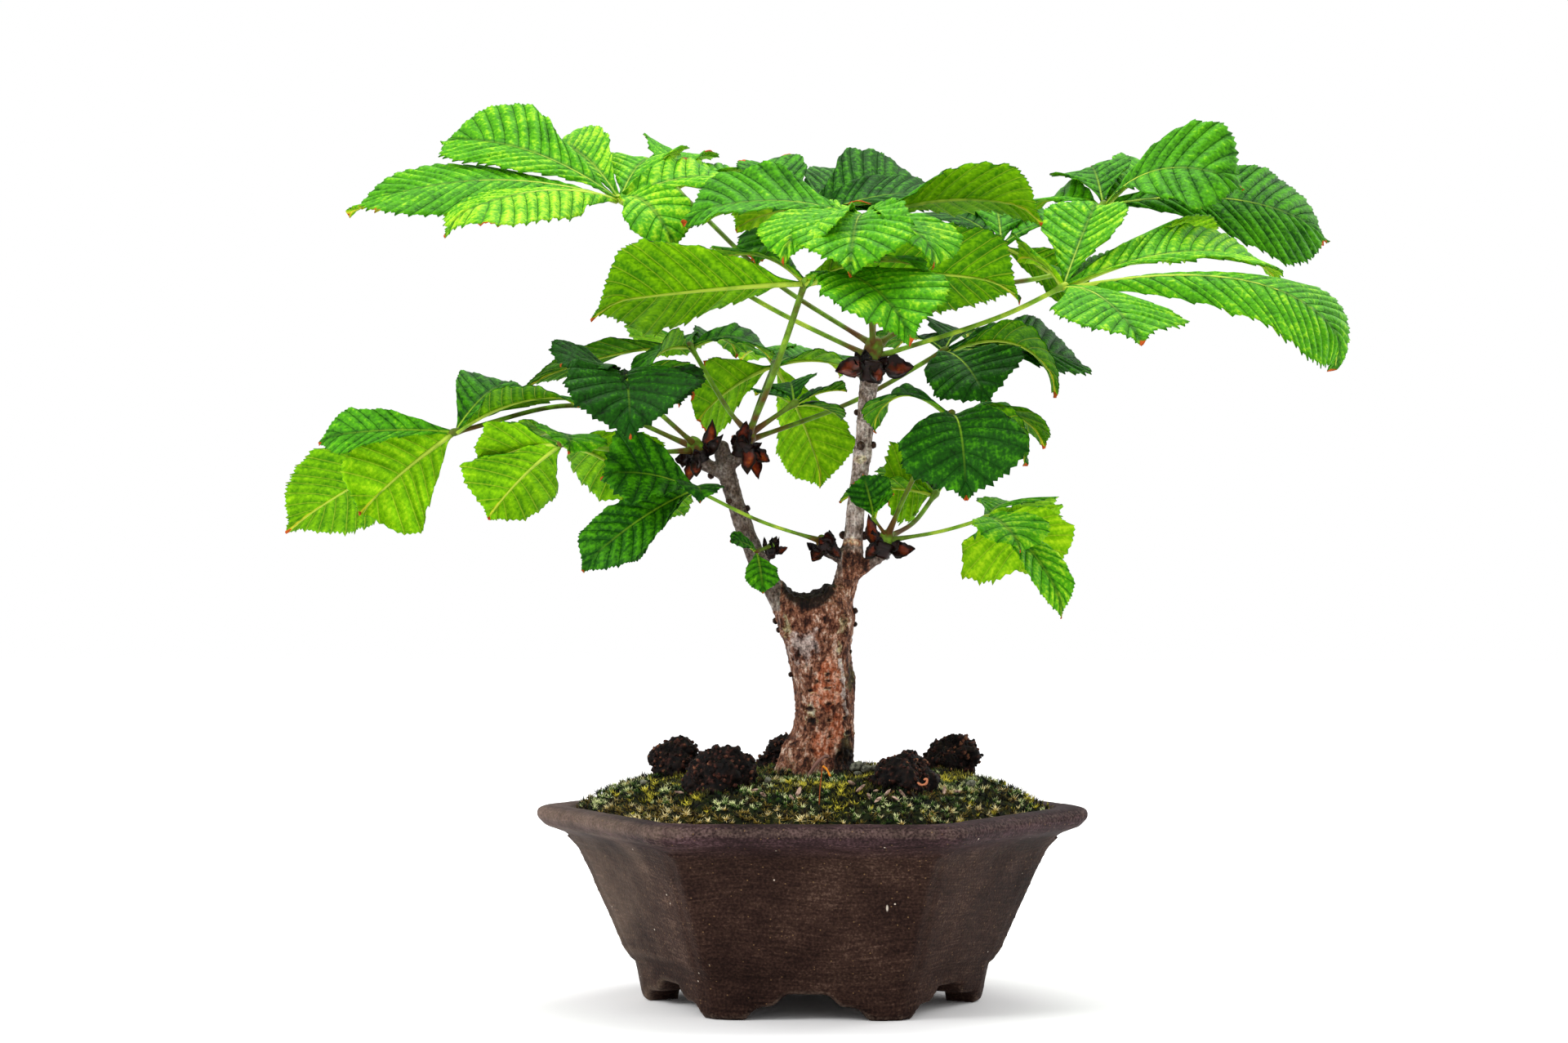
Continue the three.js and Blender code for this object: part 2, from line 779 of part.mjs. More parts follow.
function makeLeaf(leaf, wood) {
  const hub = seen(leaf.hub);
  const { rise: usualRise, peak: usualPeak, fold: usualFold } = LEAFLET;
  const blades = leaf.leaflets.map((row) => {
    const [x, y, z, width, tilt, rise = usualRise, peak = usualPeak, fold = usualFold] = row;
    const tip = seen([x, y, z]);
    const root = hub.clone().add(tip.clone().sub(hub).setLength(leaf.small ? 0.5 : 1.2));
    const teeth = LEAFLET_TEETH.filter((limit) => width >= limit).length;
    return blade(root, tip, { ...LEAFLET, width, tilt, rise, peak, fold, teeth });
  });
  return largest(join([makeStalk(leaf, wood), ...blades]));
}

// The ring that the bud scales grow from, round the foot of the new growth; its wall is a share of the
// growth's radius.
const RING = { low: 0.2, top: 2.6, wall: 0.3, sides: 6 };

// The brown scales of the opened buds: for each cluster its shoot and the scales' tips and widths.
const BUD_SCALES = {
  scales_a: { shoot: 'a', tips: [[11, -8, 284, 9], [45.5, -6, 287, 9], [31, -17, 279, 8], [20, 12, 284, 9]] },
  scales_b_left: { shoot: 'bLeft', tips: [[-62, 0, 245, 7], [-52, -11, 237, 7], [-40, -7, 256, 6]] },
  scales_b_right: { shoot: 'bRight', tips: [[-19, -5, 244, 7], [-29, -10, 240, 7], [-36, 12, 256, 6]] },
  scales_c: { shoot: 'c', tips: [[24, -6, 218, 7], [47, -8, 206, 8], [35, 11, 211, 7]] },
  scales_d: { shoot: 'd', tips: [[7, -11, 214, 6], [0, -12, 201, 6], [2, 5, 208, 6]] },
  scales_e: { shoot: 'e', tips: [[-16, 5, 210, 5], [-11, -3, 205, 4]] },
};

function makeScales({ shoot, tips }, stalks) {
  const { at, to, radius } = SHOOTS[shoot];
  const up = vec(...to).normalize();
  const foot = vec(...at).addScaledVector(up, (RING.low + RING.top) / 2);
  const inner = (radius + CLEARANCE) / Math.cos(Math.PI / RING.sides);
  const wall = RING.wall * radius;
  const section = [
    [inner, RING.low],
    [inner + wall, RING.low],
    [inner + wall, RING.top],
    [inner, RING.top],
    [inner, RING.low],
  ];
  const ring = new THREE.LatheGeometry(section.map((p) => new THREE.Vector2(...p)), RING.sides);
  ring.applyQuaternion(new THREE.Quaternion().setFromUnitVectors(vec(0, 1, 0), up));
  ring.translate(...at);
  const blades = tips.map(([x, y, z, width]) => {
    const tip = vec(x, y, z);
    const out = tip.clone().sub(foot);
    out.addScaledVector(up, -out.dot(up)).setLength(inner + wall / 2);
    return blade(foot.clone().add(out), tip, { ...BUD_SCALE, width });
  });
  return largest(join([solid(ring), ...blades]).subtract(join(stalks)));
}

// A crumbly fertiliser cake: a rough lump that sits on the moss.
const CAKES = {
  cake_back_left: { at: [-61.5, 4, 107], size: [12, 11, 9.5], seed: 1.1 },
  cake_front_left: { at: [-42, -56, 102], size: [15.5, 15, 13], seed: 2.3 },
  cake_back: { at: [-14.5, 40, 110], size: [9.5, 9, 8.5], seed: 3.7 },
  cake_front_right: { at: [41, -56, 101], size: [14, 14, 12], seed: 4.9 },
  cake_back_right: { at: [63.5, 25, 109.6], size: [12, 12, 10], seed: 6.2 },
};

function makeCake({ at, size, seed }, soilRoom) {
  const lump = new THREE.IcosahedronGeometry(1, 1);
  const spots = lump.getAttribute('position');
  for (let i = 0; i < spots.count; i += 1) {
    const p = vec(spots.getX(i), spots.getY(i), spots.getZ(i));
    const rough = Math.sin(p.x * 5 + seed) * Math.cos(p.y * 6 - seed) + Math.sin(p.z * 7 + p.x * 4 + seed * 2);
    p.multiplyScalar(1 + 0.09 * rough);
    const spot = seen(at);
    spots.setXYZ(i, spot.x + p.x * size[0], spot.y + p.y * size[1], spot.z + p.z * size[2]);
  }
  return largest(solid(lump).subtract(soilRoom));
}

const pot = new THREE.Group();
pot.add(named('pot', makePot(), CLAY));
pot.add(named('drain_mesh', makeDrainMesh(), PLASTIC));

// The tree is planted turned a little in its pot.
const turned = (body) => body.rotate([0, 0, THREE.MathUtils.radToDeg(TREE_TURN)]);
const wood = makeWood(0);
const woodRoom = makeWood(CLEARANCE);
const soil = makeSoil().subtract(turned(woodRoom));
pot.add(named('soil', shape(soil), MOSS));
const soilRoom = soil.translate([0, 0, CLEARANCE]).rotate([0, 0, -THREE.MathUtils.radToDeg(TREE_TURN)]);

const tree = new THREE.Group();
tree.rotation.z = TREE_TURN;
tree.add(named('trunk', shape(wood), BARK));
for (const [name, cluster] of Object.entries(BUD_SCALES)) {
  const stalks = Object.values(LEAVES)
    .filter((leaf) => leaf.shoot === cluster.shoot)
    .map((leaf) => makeStalk(leaf, woodRoom, CLEARANCE));
  tree.add(named(name, shape(makeScales(cluster, stalks)), SCALE));
}
for (const [name, leaf] of Object.entries(LEAVES)) {
  tree.add(named(name, shape(makeLeaf(leaf, woodRoom)), LEAF));
}
for (const [name, cake] of Object.entries(CAKES)) {
  tree.add(named(name, shape(makeCake(cake, soilRoom)), CAKE));
}

const bonsai = new THREE.Group();
bonsai.add(pot, tree);
bonsai.updateMatrixWorld(true);
const box = new THREE.Box3().setFromObject(bonsai, true);
bonsai.position.set(-(box.min.x + box.max.x) / 2, -(box.min.y + box.max.y) / 2, -box.min.z);

export default bonsai;
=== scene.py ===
"""A horse chestnut bonsai in its hexagonal clay pot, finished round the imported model."""
import math
import random

import bmesh
import bpy
from bpy.props import FloatProperty, FloatVectorProperty, IntProperty, PointerProperty
from mathutils import Matrix, Vector, noise
from mathutils.bvhtree import BVHTree


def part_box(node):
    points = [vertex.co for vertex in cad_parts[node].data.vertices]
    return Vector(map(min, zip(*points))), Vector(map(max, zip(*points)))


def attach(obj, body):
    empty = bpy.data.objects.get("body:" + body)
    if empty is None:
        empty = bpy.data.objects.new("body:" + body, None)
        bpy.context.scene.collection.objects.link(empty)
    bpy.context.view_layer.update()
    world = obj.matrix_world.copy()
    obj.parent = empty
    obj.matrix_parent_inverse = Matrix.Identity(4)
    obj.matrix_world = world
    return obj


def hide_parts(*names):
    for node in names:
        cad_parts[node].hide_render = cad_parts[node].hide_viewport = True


bl_info = {
    "name": "Horse chestnut bonsai",
    "version": (1, 0, 0),
    "blender": (4, 5, 0),
    "location": "View3D > Sidebar > Bonsai",
    "description": "Leaves, bark, moss, clay and a studio for a potted horse chestnut",
    "category": "Object",
}

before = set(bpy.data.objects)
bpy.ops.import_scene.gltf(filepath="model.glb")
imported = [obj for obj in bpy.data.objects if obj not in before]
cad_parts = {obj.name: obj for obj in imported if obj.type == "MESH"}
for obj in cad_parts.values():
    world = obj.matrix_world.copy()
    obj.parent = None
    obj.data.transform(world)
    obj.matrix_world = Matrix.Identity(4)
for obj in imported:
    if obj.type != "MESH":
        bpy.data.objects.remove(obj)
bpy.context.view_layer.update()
MM = 0.001
# Vertices of a piece that are nearer than this are merged, in millimetres.
WELD = 0.01

POT_LOW, POT_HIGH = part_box("pot")
POT_AXIS = Vector(((POT_LOW.x + POT_HIGH.x) / 2, (POT_LOW.y + POT_HIGH.y) / 2, 0))
TREE_TURN = math.radians(2.3)
# From the tree's own millimetres to the model's metres: turned a little in the pot.
PLANTED = Matrix.Translation(POT_AXIS) @ Matrix.Rotation(TREE_TURN, 4, "Z") @ Matrix.Scale(MM, 4)
# Places on the tree are as they look from the front at the trunk's depth; nearer or further ones are
# spread about this level eye, in millimetres.
EYE_X, EYE_Z, EYE_DISTANCE = -12.6, 213.0, 1550.0


def linear(colour):
    """Linear RGBA of an sRGB colour such as '#4a332b', or of a colour property, which is linear."""
    if not isinstance(colour, str):
        return (*colour, 1.0)
    channels = [int(colour[i : i + 2], 16) / 255 for i in (1, 3, 5)]
    return tuple(c / 12.92 if c <= 0.04045 else ((c + 0.055) / 1.055) ** 2.4 for c in channels) + (1.0,)


def tint(name, colour, description):
    """A colour that the user may change."""
    return FloatVectorProperty(
        name=name, description=description, subtype="COLOR", size=3, min=0, max=1, default=linear(colour)[:3])


def add(tree, kind, sockets, stops=(), out=0, **settings):
    """Adds a shader node with its settings, its ramp's stops and its sockets' values or links.

    It gives back the node's output of the name or number asked for."""
    made = tree.nodes.new("ShaderNode" + kind)
    for name, value in settings.items():
        setattr(made, name, value)
    if stops:
        while len(made.color_ramp.elements) < len(stops):
            made.color_ramp.elements.new(0.5)
        for element, (at, colour) in zip(made.color_ramp.elements, stops):
            element.position = at
            element.color = linear(colour)
    for name, value in sockets.items():
        if isinstance(value, bpy.types.NodeSocket):
            tree.links.new(value, made.inputs[name])
        else:
            made.inputs[name].default_value = value
    return made.outputs[out]


def finish_named(name):
    """A new material, its node tree and the place on the piece that its patterns read."""
    made = bpy.data.materials.new(name)
    made.use_nodes = True
    return made, made.node_tree, add(made.node_tree, "TexCoord", {}, out="Object")


def marks_on(tree, name):
    """The three numbers of a mark that the piece's vertices carry."""
    mark = add(tree, "Attribute", {}, out="Vector", attribute_name=name, attribute_type="GEOMETRY")
    return add(tree, "SeparateXYZ", {0: mark}, out=slice(3))


def rare_flecks(tree, spot, scale, size, draw, rarity):
    """1 in the middle of a few cells of a grit, fading out over size; a draw within rarity picks them."""
    distance, cell = add(tree, "TexVoronoi", {"Vector": spot, "Scale": scale}, out=slice(2))
    near = add(tree, "MapRange", {0: distance, 1: size[0], 2: size[1], 3: 1.0, 4: 0.0})
    drawn = add(tree, "SeparateXYZ", {0: cell}, out=draw)
    few = add(tree, "MapRange", {0: drawn, 1: rarity[0], 2: rarity[1]})
    return add(tree, "Math", {0: near, 1: few}, operation="MULTIPLY")


def skin_with(tree, colour, roughness, specular, height=None, strength=0.0, depth=0.001):
    """Gives the material's shader its colour and gloss, and relief as deep as depth in metres."""
    shader = tree.nodes["Principled BSDF"]
    tree.links.new(colour, shader.inputs["Base Color"])
    shader.inputs["Roughness"].default_value = roughness
    shader.inputs["Specular IOR Level"].default_value = specular
    if height is not None:
        relief = add(tree, "Bump", {"Height": height, "Strength": strength, "Distance": depth})
        tree.links.new(relief, shader.inputs["Normal"])


def mottled_finish(name, scale, detail, stops, roughness, specular, strength=0.0):
    """A material whose one mottle gives its colour and, with a strength, its relief."""
    made, tree, spot = finish_named(name)
    mottle = add(tree, "TexNoise", {"Vector": spot, "Scale": scale, "Detail": detail})
    colour = add(tree, "ValToRGB", {"Fac": mottle}, stops=stops)
    skin_with(tree, colour, roughness, specular, mottle if strength else None, strength)
    return made


def seen(place):
    """Where a place of the tree's table really is, in its millimetres."""
    x, y, z = place
    spread = 1 + y / EYE_DISTANCE
    return Vector((EYE_X + (x - EYE_X) * spread, y, EYE_Z + (z - EYE_Z) * spread))


def held(value):
    """A value held between 0 and 1."""
    return min(max(value, 0), 1)


def eased(t, start, end, slope_start, slope_end):
    """A smooth way from start to end, t of the way along, with the slopes given at its ends."""
    t2, t3 = t * t, t * t * t
    return (
        (2 * t3 - 3 * t2 + 1) * start + (t3 - 2 * t2 + t) * slope_start
        + (3 * t2 - 2 * t3) * end + (t3 - t2) * slope_end)


def share_at(outline, s):
    """A smooth curve through an outline's (place, share) points."""
    for i in range(len(outline) - 1):
        if s <= outline[i + 1][0] or i == len(outline) - 2:
            break
    (s0, w0), (s1, w1) = outline[i], outline[i + 1]
    before = outline[i - 1] if i else outline[0]
    after = outline[i + 2] if i + 2 < len(outline) else outline[-1]
    slope0 = (w1 - before[1]) / (s1 - before[0]) * (s1 - s0)
    slope1 = (after[1] - w0) / (after[0] - s0) * (s1 - s0)
    return max(eased(held((s - s0) / (s1 - s0)), w0, w1, slope0, slope1), 0)


def spline(points, count):
    """count + 1 points along one smooth curve through the given ones."""
    ends = [2 * points[0] - points[1], *points, 2 * points[-1] - points[-2]]
    made = []
    for step in range(count + 1):
        place = step / count * (len(points) - 1)
        i = min(int(place), len(points) - 2)
        p0, p1, p2, p3 = ends[i : i + 4]
        d0, d1, d2 = ((b - a).length ** 0.5 for a, b in ((p0, p1), (p1, p2), (p2, p3)))
        m1 = ((p1 - p0) / d0 - (p2 - p0) / (d0 + d1) + (p2 - p1) / d1) * d1
        m2 = ((p2 - p1) / d1 - (p3 - p1) / (d1 + d2) + (p3 - p2) / d2) * d1
        made.append(eased(place - i, p1, p2, m1, m2))
    return made


def faces_at(verts):
    """The faces that meet at these vertices, in the same order each run."""
    return list(dict.fromkeys(f for v in verts for f in v.link_faces))


def smoothed(faces, material=0):
    """Shades faces smooth and gives them their material."""
    for f in faces:
        f.smooth = True
        f.material_index = material


def thickened(bm, faces, thickness, material=0):
    """Gives a sheet its thickness; its other side and its rim are of the material."""
    shell = bmesh.ops.solidify(bm, geom=faces, thickness=thickness)["geom"]
    smoothed([f for f in shell if isinstance(f, bmesh.types.BMFace)], material)


def tube(bm, centres, radii, sides, material=0):
    """A closed round limb through the centres: a grid rolled up, welded and capped."""
    made = bmesh.ops.create_grid(bm, x_segments=sides, y_segments=len(centres) - 1, size=1)["verts"]
    last = len(centres) - 1
    rings = [[] for _ in centres]
    for v in made:
        row = round((v.co.y + 1) / 2 * last)
        angle = (v.co.x + 1) * math.pi
        along = (centres[min(row + 1, last)] - centres[max(row - 1, 0)]).normalized()
        across = Vector((0, 1, 0)).cross(along).normalized()
        deep = along.cross(across)
        v.co = centres[row] + across * (radii[row] * math.cos(angle)) + deep * (radii[row] * math.sin(angle))
        rings[row].append(v)
    smoothed(faces_at(made), material)
    for ring in (rings[0], rings[-1]):
        round_it = dict.fromkeys(
            e for v in ring for e in v.link_edges if e.is_boundary and e.other_vert(v) in ring)
        for f in bmesh.ops.contextual_create(bm, geom=list(round_it))["faces"]:
            f.material_index = material
    bmesh.ops.remove_doubles(bm, verts=made, dist=1e-4)


def mesh_of(bm, name):
    """A bmesh turned into a mesh."""
    mesh = bpy.data.meshes.new(name)
    bm.to_mesh(mesh)
    bm.free()
    return mesh


def set_down(name, data):
    """A new object in the scene."""
    made = bpy.data.objects.new(name, data)
    bpy.context.scene.collection.objects.link(made)
    return made


def piece(name, bm, materials, replaced, matrix):
    """Makes a mesh the finished piece: in place, riding on the body, standing for its CAD nodes."""
    bmesh.ops.transform(bm, matrix=matrix, verts=bm.verts)
    made = set_down(name, mesh_of(bm, name))
    for material in materials:
        made.data.materials.append(material)
    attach(made, "root")
    if replaced:
        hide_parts(*replaced)


def remeshed(node, voxel, rounds, to_model):
    """A CAD node's skin as one even, softened mesh in its own millimetres."""
    bm = bmesh.new()
    bm.from_mesh(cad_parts[node].data)
    bmesh.ops.transform(bm, matrix=to_model.inverted(), verts=bm.verts)
    bmesh.ops.remove_doubles(bm, verts=bm.verts, dist=WELD)
    holder = set_down(node + "_even", mesh_of(bm, node + "_even"))
    even = holder.modifiers.new("even", "REMESH")
    even.mode = "VOXEL"
    even.voxel_size = voxel
    result = bpy.data.meshes.new_from_object(holder.evaluated_get(bpy.context.evaluated_depsgraph_get()))
    bpy.data.objects.remove(holder)
    bm = bmesh.new()
    bm.from_mesh(result)
    bpy.data.meshes.remove(result)
    for _ in range(rounds):
        bmesh.ops.smooth_vert(
            bm, verts=bm.verts, factor=0.5, use_axis_x=True, use_axis_y=True, use_axis_z=True)
    smoothed(bm.faces)
    bm.normal_update()
    return bm


def jutting(v):
    """How far a vertex stands out of the ring of its neighbours: more on an edge, less in a crease."""
    others = [e.other_vert(v).co for e in v.link_edges]
    return v.normal.dot(v.co - sum(others, Vector()) / len(others))


def lens(place, spot):
    """1 at the middle of a flat oval spot (x, z, half width, half height), falling to 0 at its edge."""
    x, z, wide, high = spot
    return max(0, 1 - (((place.x - x) / wide) ** 2 + ((place.z - z) / high) ** 2))


def scatter(bm, templates, places, chance):
    """Sets a small template mesh at each place, given as a matrix."""
    for matrix in places:
        copy = chance.choice(templates).copy()
        copy.transform(matrix)
        bm.from_mesh(copy)
        bpy.data.meshes.remove(copy)


# The tree's table, in millimetres.

STALK_RADIUS = 1.5
# The radius of the stoutest and the slenderest stalks halfway.
STALK_GIRTHS = {"leaf_b5": 1.4, "leaf_d1": 0.8, "leaf_c2": 0.85}
HUB_RADIUS = 1.9
# The stalks that are still bright green; the others have ripened to olive and brown.
BRIGHT_STALKS = ("leaf_d1", "leaf_c2", "leaf_a1", "leaf_a5")
RING_TOP = 2.6

# The leaves whose edges have scorched, and how much; the rest only here and there.
SCORCHED = {"leaf_a4": 0.95, "leaf_a2": 0.75, "leaf_a1": 0.6, "leaf_a6": 0.6, "leaf_b5": 0.55}
# A leaflet in the shade of those above: its leaf, its row and the change of tone.
SHADED = {("leaf_b5", 2): -0.26}
# The soft new growth that the stalks leave: foot, direction, length, radius.
SHOOTS = {
    "a": ((27.2, -4, 286), (0.1, 0, 1), 10, 4.8),
    "bLeft": ((-51, 1, 245), (-0.35, -0.1, 1), 7, 4),
    "bRight": ((-31, 2, 249), (0.3, 0.1, 1), 8, 4.2),
    "c": ((32, -2, 204), (0.35, 0, 1), 6, 3.8),
    "d": ((6.5, -4, 204), (-0.5, 0, 1), 4, 3.4),
    "e": ((-18.6, -1, 202), (0.1, -0.3, 1), 3.5, 2),
}
# Each leaf: its shoot, how far up it starts, where its stalk passes, its hub, its tone from shaded to
# bright, and its leaflets as (tip x, tip y, tip z, width, tilt, rise, peak, fold), where the last ones may
# be left out.
LEAVES = {
    "leaf_a1": ("a", 0.05, [(-21.8, 3, 315), (-60.7, 4, 340)], (-87, 4, 362.6), 0.7, [
        (-168, 45, 389, 50, 34), (-211, 0, 357, 58, 28, 0.1, 0.5, -0.1),
        (-169, -50, 351, 62, 26, 0.1, 0.5, -0.22), (-121, 77, 387, 34, 26),
        (-30, 32, 371, 48, 38), (-61, -35, 340, 30, 40, 0.2), (-70, 60, 381, 34, 16)]),
    "leaf_a2": ("a", 1, [(-18, 19, 326), (-48, 50, 354)], (-62, 70, 368), 0.7, [
        (-92, 112, 375, 32, 20), (-34, 82, 371, 36, 24), (-61, 130, 383, 36, 22), (-20, 120, 369, 34, 15)]),
    "leaf_a3": ("a", 0.55, [(26, -20, 318)], (24, -48, 354), 0.7, [
        (-60, -48, 354, 50, 22), (17, -125, 330, 54, 0, 0.12), (106, -32, 357, 52, -24),
        (58, -102, 335, 40, 0), (-35, -2, 350, 42, -15), (-15, -108, 338, 40, 0)]),
    "leaf_a4": ("a", 0.7, [(25, 28, 323)], (-5, 55, 352), 0.42, [
        (-26, 104, 380, 31, 12), (25, 130, 375, 35, 16), (52, 95, 369, 52, 38), (70, 62, 363, 46, 30),
        (-34, 28, 366, 32, 20), (-26, 22, 334, 32, 10)]),
    "leaf_a5": ("a", 0.05, [(87, -22, 310)], (114, -28, 323), 0.72, [
        (245, -35, 286, 60, 24, 0.2, 0.75, -0.28), (150, -95, 297, 58, 25, 0.1, 0.5, -0.1),
        (214, 15, 328, 52, 18, 0.12, 0.6),
        (184, 62, 337, 42, -12), (130, 16, 364, 42, 20, 0.02), (94, -5, 337, 34, -20)]),
    "leaf_a6": ("a", 1, [(70, 10, 320), (119, 40, 333)], (132, 52, 360), 0.6, [
        (197, 20, 369, 58, 44, 0.22, 0.5, 0.1), (235, 75, 344, 60, 42, 0.13, 0.6, -0.1),
        (126, 88, 378, 36, 35), (165, 120, 372, 44, 10), (100, 80, 359, 34, 15)]),
    "leaf_a7": ("a", 0.1, [(50, 44, 318)], (86, 76, 342), 0.5, [
        (82, 128, 362, 38, 20), (122, 112, 350, 36, 5), (128, 50, 309, 38, -50), (52, 112, 356, 34, 15)]),
    "leaf_b1": ("bLeft", 0, [(-78, -16, 248)], (-113, -32, 252), 0.6, [
        (-147, -6, 218, 44, -50), (-151, -12, 241, 38, -45), (-109, -74, 250, 28, 0), (-75, 6, 230, 46, -50),
        (-128, 24, 250, 34, -15)]),
    "leaf_b2": ("bLeft", 0.5, [(-105, 8, 269)], (-162, 5, 257), 0.6, [
        (-225, 12, 254, 26, 45, 0.05), (-238, 52, 213, 46, -50, 0.04), (-206, 8, 219, 50, -62),
        (-105, -26, 272, 40, -20), (-137, 42, 280, 34, 40)]),
    "leaf_b3": ("bLeft", 1, [(-66, -26, 263)], (-86, -42, 281), 0.22, [
        (-82, -102, 256, 56, 5, 0.2), (-114, -72, 288, 36, 20), (-60, -88, 270, 36, 0),
        (-50, -28, 279, 32, -15)]),
    "leaf_b4": ("bRight", 1, [(-37, 14, 266)], (-55, 38, 296), 0.45, [
        (-134, 22, 277, 27, -15, 0.06, 0.4), (-18, 48, 290, 34, 20, 0.2), (-76, -2, 284, 32, -30),
        (-72, 92, 293, 40, 5), (-33, 90, 294, 30, 5)]),
    "leaf_b5": ("bRight", 0.5, [(-16, -32, 287)], (-3, -60, 325), 0.65, [
        (-101, -52, 315, 60, -42, 0.02), (46, -128, 300, 56, 10, 0.15), (96, -40, 323, 66, -42, 0.08),
        (-42, -12, 336, 30, -10), (54, -96, 331, 34, 0)]),
    "leaf_b6": ("bRight", 0.75, [], (-8, 4, 270), 0.35, [
        (16, 6, 276, 26, 15), (14, 16, 263, 24, 0), (-10, 26, 280, 22, 20), (-26, 12, 275, 22, 10)]),
    "leaf_b7": ("bRight", 0, [(21, 34, 272)], (60, 48, 294), 0.3, [
        (79, 4, 272, 44, 25), (114, 30, 274, 40, -10, 0.25), (124, 86, 286, 46, 40), (72, 104, 300, 40, 5),
        (38, 96, 296, 34, 5)]),
    "leaf_b8": ("bRight", 0.3, [(-24, 38, 270)], (-17, 78, 288), 0.6, [
        (-52, 64, 262, 48, -45), (22, 76, 284, 36, -10), (6, 98, 232, 37, -40), (-32, 136, 290, 42, 5),
        (14, 132, 284, 40, 5)]),
    "leaf_d1": ("d", 0.5, [(-24, -26, 217)], (-53, -40, 231), 0.35, [
        (-96, -56, 238, 44, 42), (-105, -66, 195, 30, 58), (-90, -34, 199, 24, 50), (-50, -72, 228, 20, 10),
        (-76, -4, 215, 32, -20)]),
    "leaf_c1": ("c", 1, [(45.5, -22, 235)], (63, -42, 265), 0.36, [
        (70, -84, 226, 50, 20, 0.26), (26, -30, 258, 34, 15, 0.35), (98, -53, 242, 32, -15, 0.2),
        (107, -32, 251, 34, 15, 0.2)]),
    "leaf_c2": ("c", 0, [(58, -6, 212)], (79, -8, 218), 0.65, [
        (99, 22, 196, 54, -60), (111, 14, 193, 40, -42, 0.2), (95, -50, 204, 34, 25),
        (116, -46, 174, 22, 30, 0.15), (99, 54, 219, 38, -20)]),
    "leaf_c3": ("c", 0.6, [(46, 16, 216)], (56, 34, 229), 0.5, [
        (32, 42, 231, 42, -50), (12, 28, 226, 28, -10), (72, 88, 236, 38, 0), (40, 84, 234, 34, 0)]),
    "leaf_c4": ("c", 1, [], (28, -14, 218), 0.4, [(23, -20, 238, 19, 55), (37, -26, 229, 14, 40)]),
    "leaf_e1": ("e", 0.5, [], (-25, -10, 203), 0.48, [(-37, -18, 208, 17, 40), (-22, -25, 184, 15, 30)]),
}
SMALL_LEAVES = ("leaf_c4", "leaf_e1")
LEAFLET_OUTLINE = (
    (0, 0.03), (0.1, 0.12), (0.25, 0.38), (0.45, 0.73), (0.6, 0.94), (0.7, 1), (0.79, 0.93), (0.87, 0.68),
    (0.92, 0.38), (0.95, 0.17), (0.975, 0.09), (1, 0.01))
# A leaflet's usual rise, peak and fold; a fold below 0 is a roof, above 0 a gutter.
LEAFLET_USUAL = (0.1, 0.5, 0.16)


# The leaves: their finishes, their form and the operator that grows them.


class LeafLooks(bpy.types.PropertyGroup):
    upper: tint("Upper side", "#4c9c08", "Usual green of the waxy upper side")
    # The underside's bright green is partly painted light shining through the leaf.
    under: tint("Underside", "#7ebc04", "Usual green of the dull underside")
    stalk: tint("Stalk", "#6f9a22", "Usual green of a leaf stalk")
    stalk_radius: FloatProperty(
        name="Stalk radius", description="Usual radius of a leaf stalk halfway", default=0.00108,
        unit="LENGTH")
    vein_pitch: FloatProperty(
        name="Vein pitch", description="Distance between side veins", default=0.0061, unit="LENGTH")


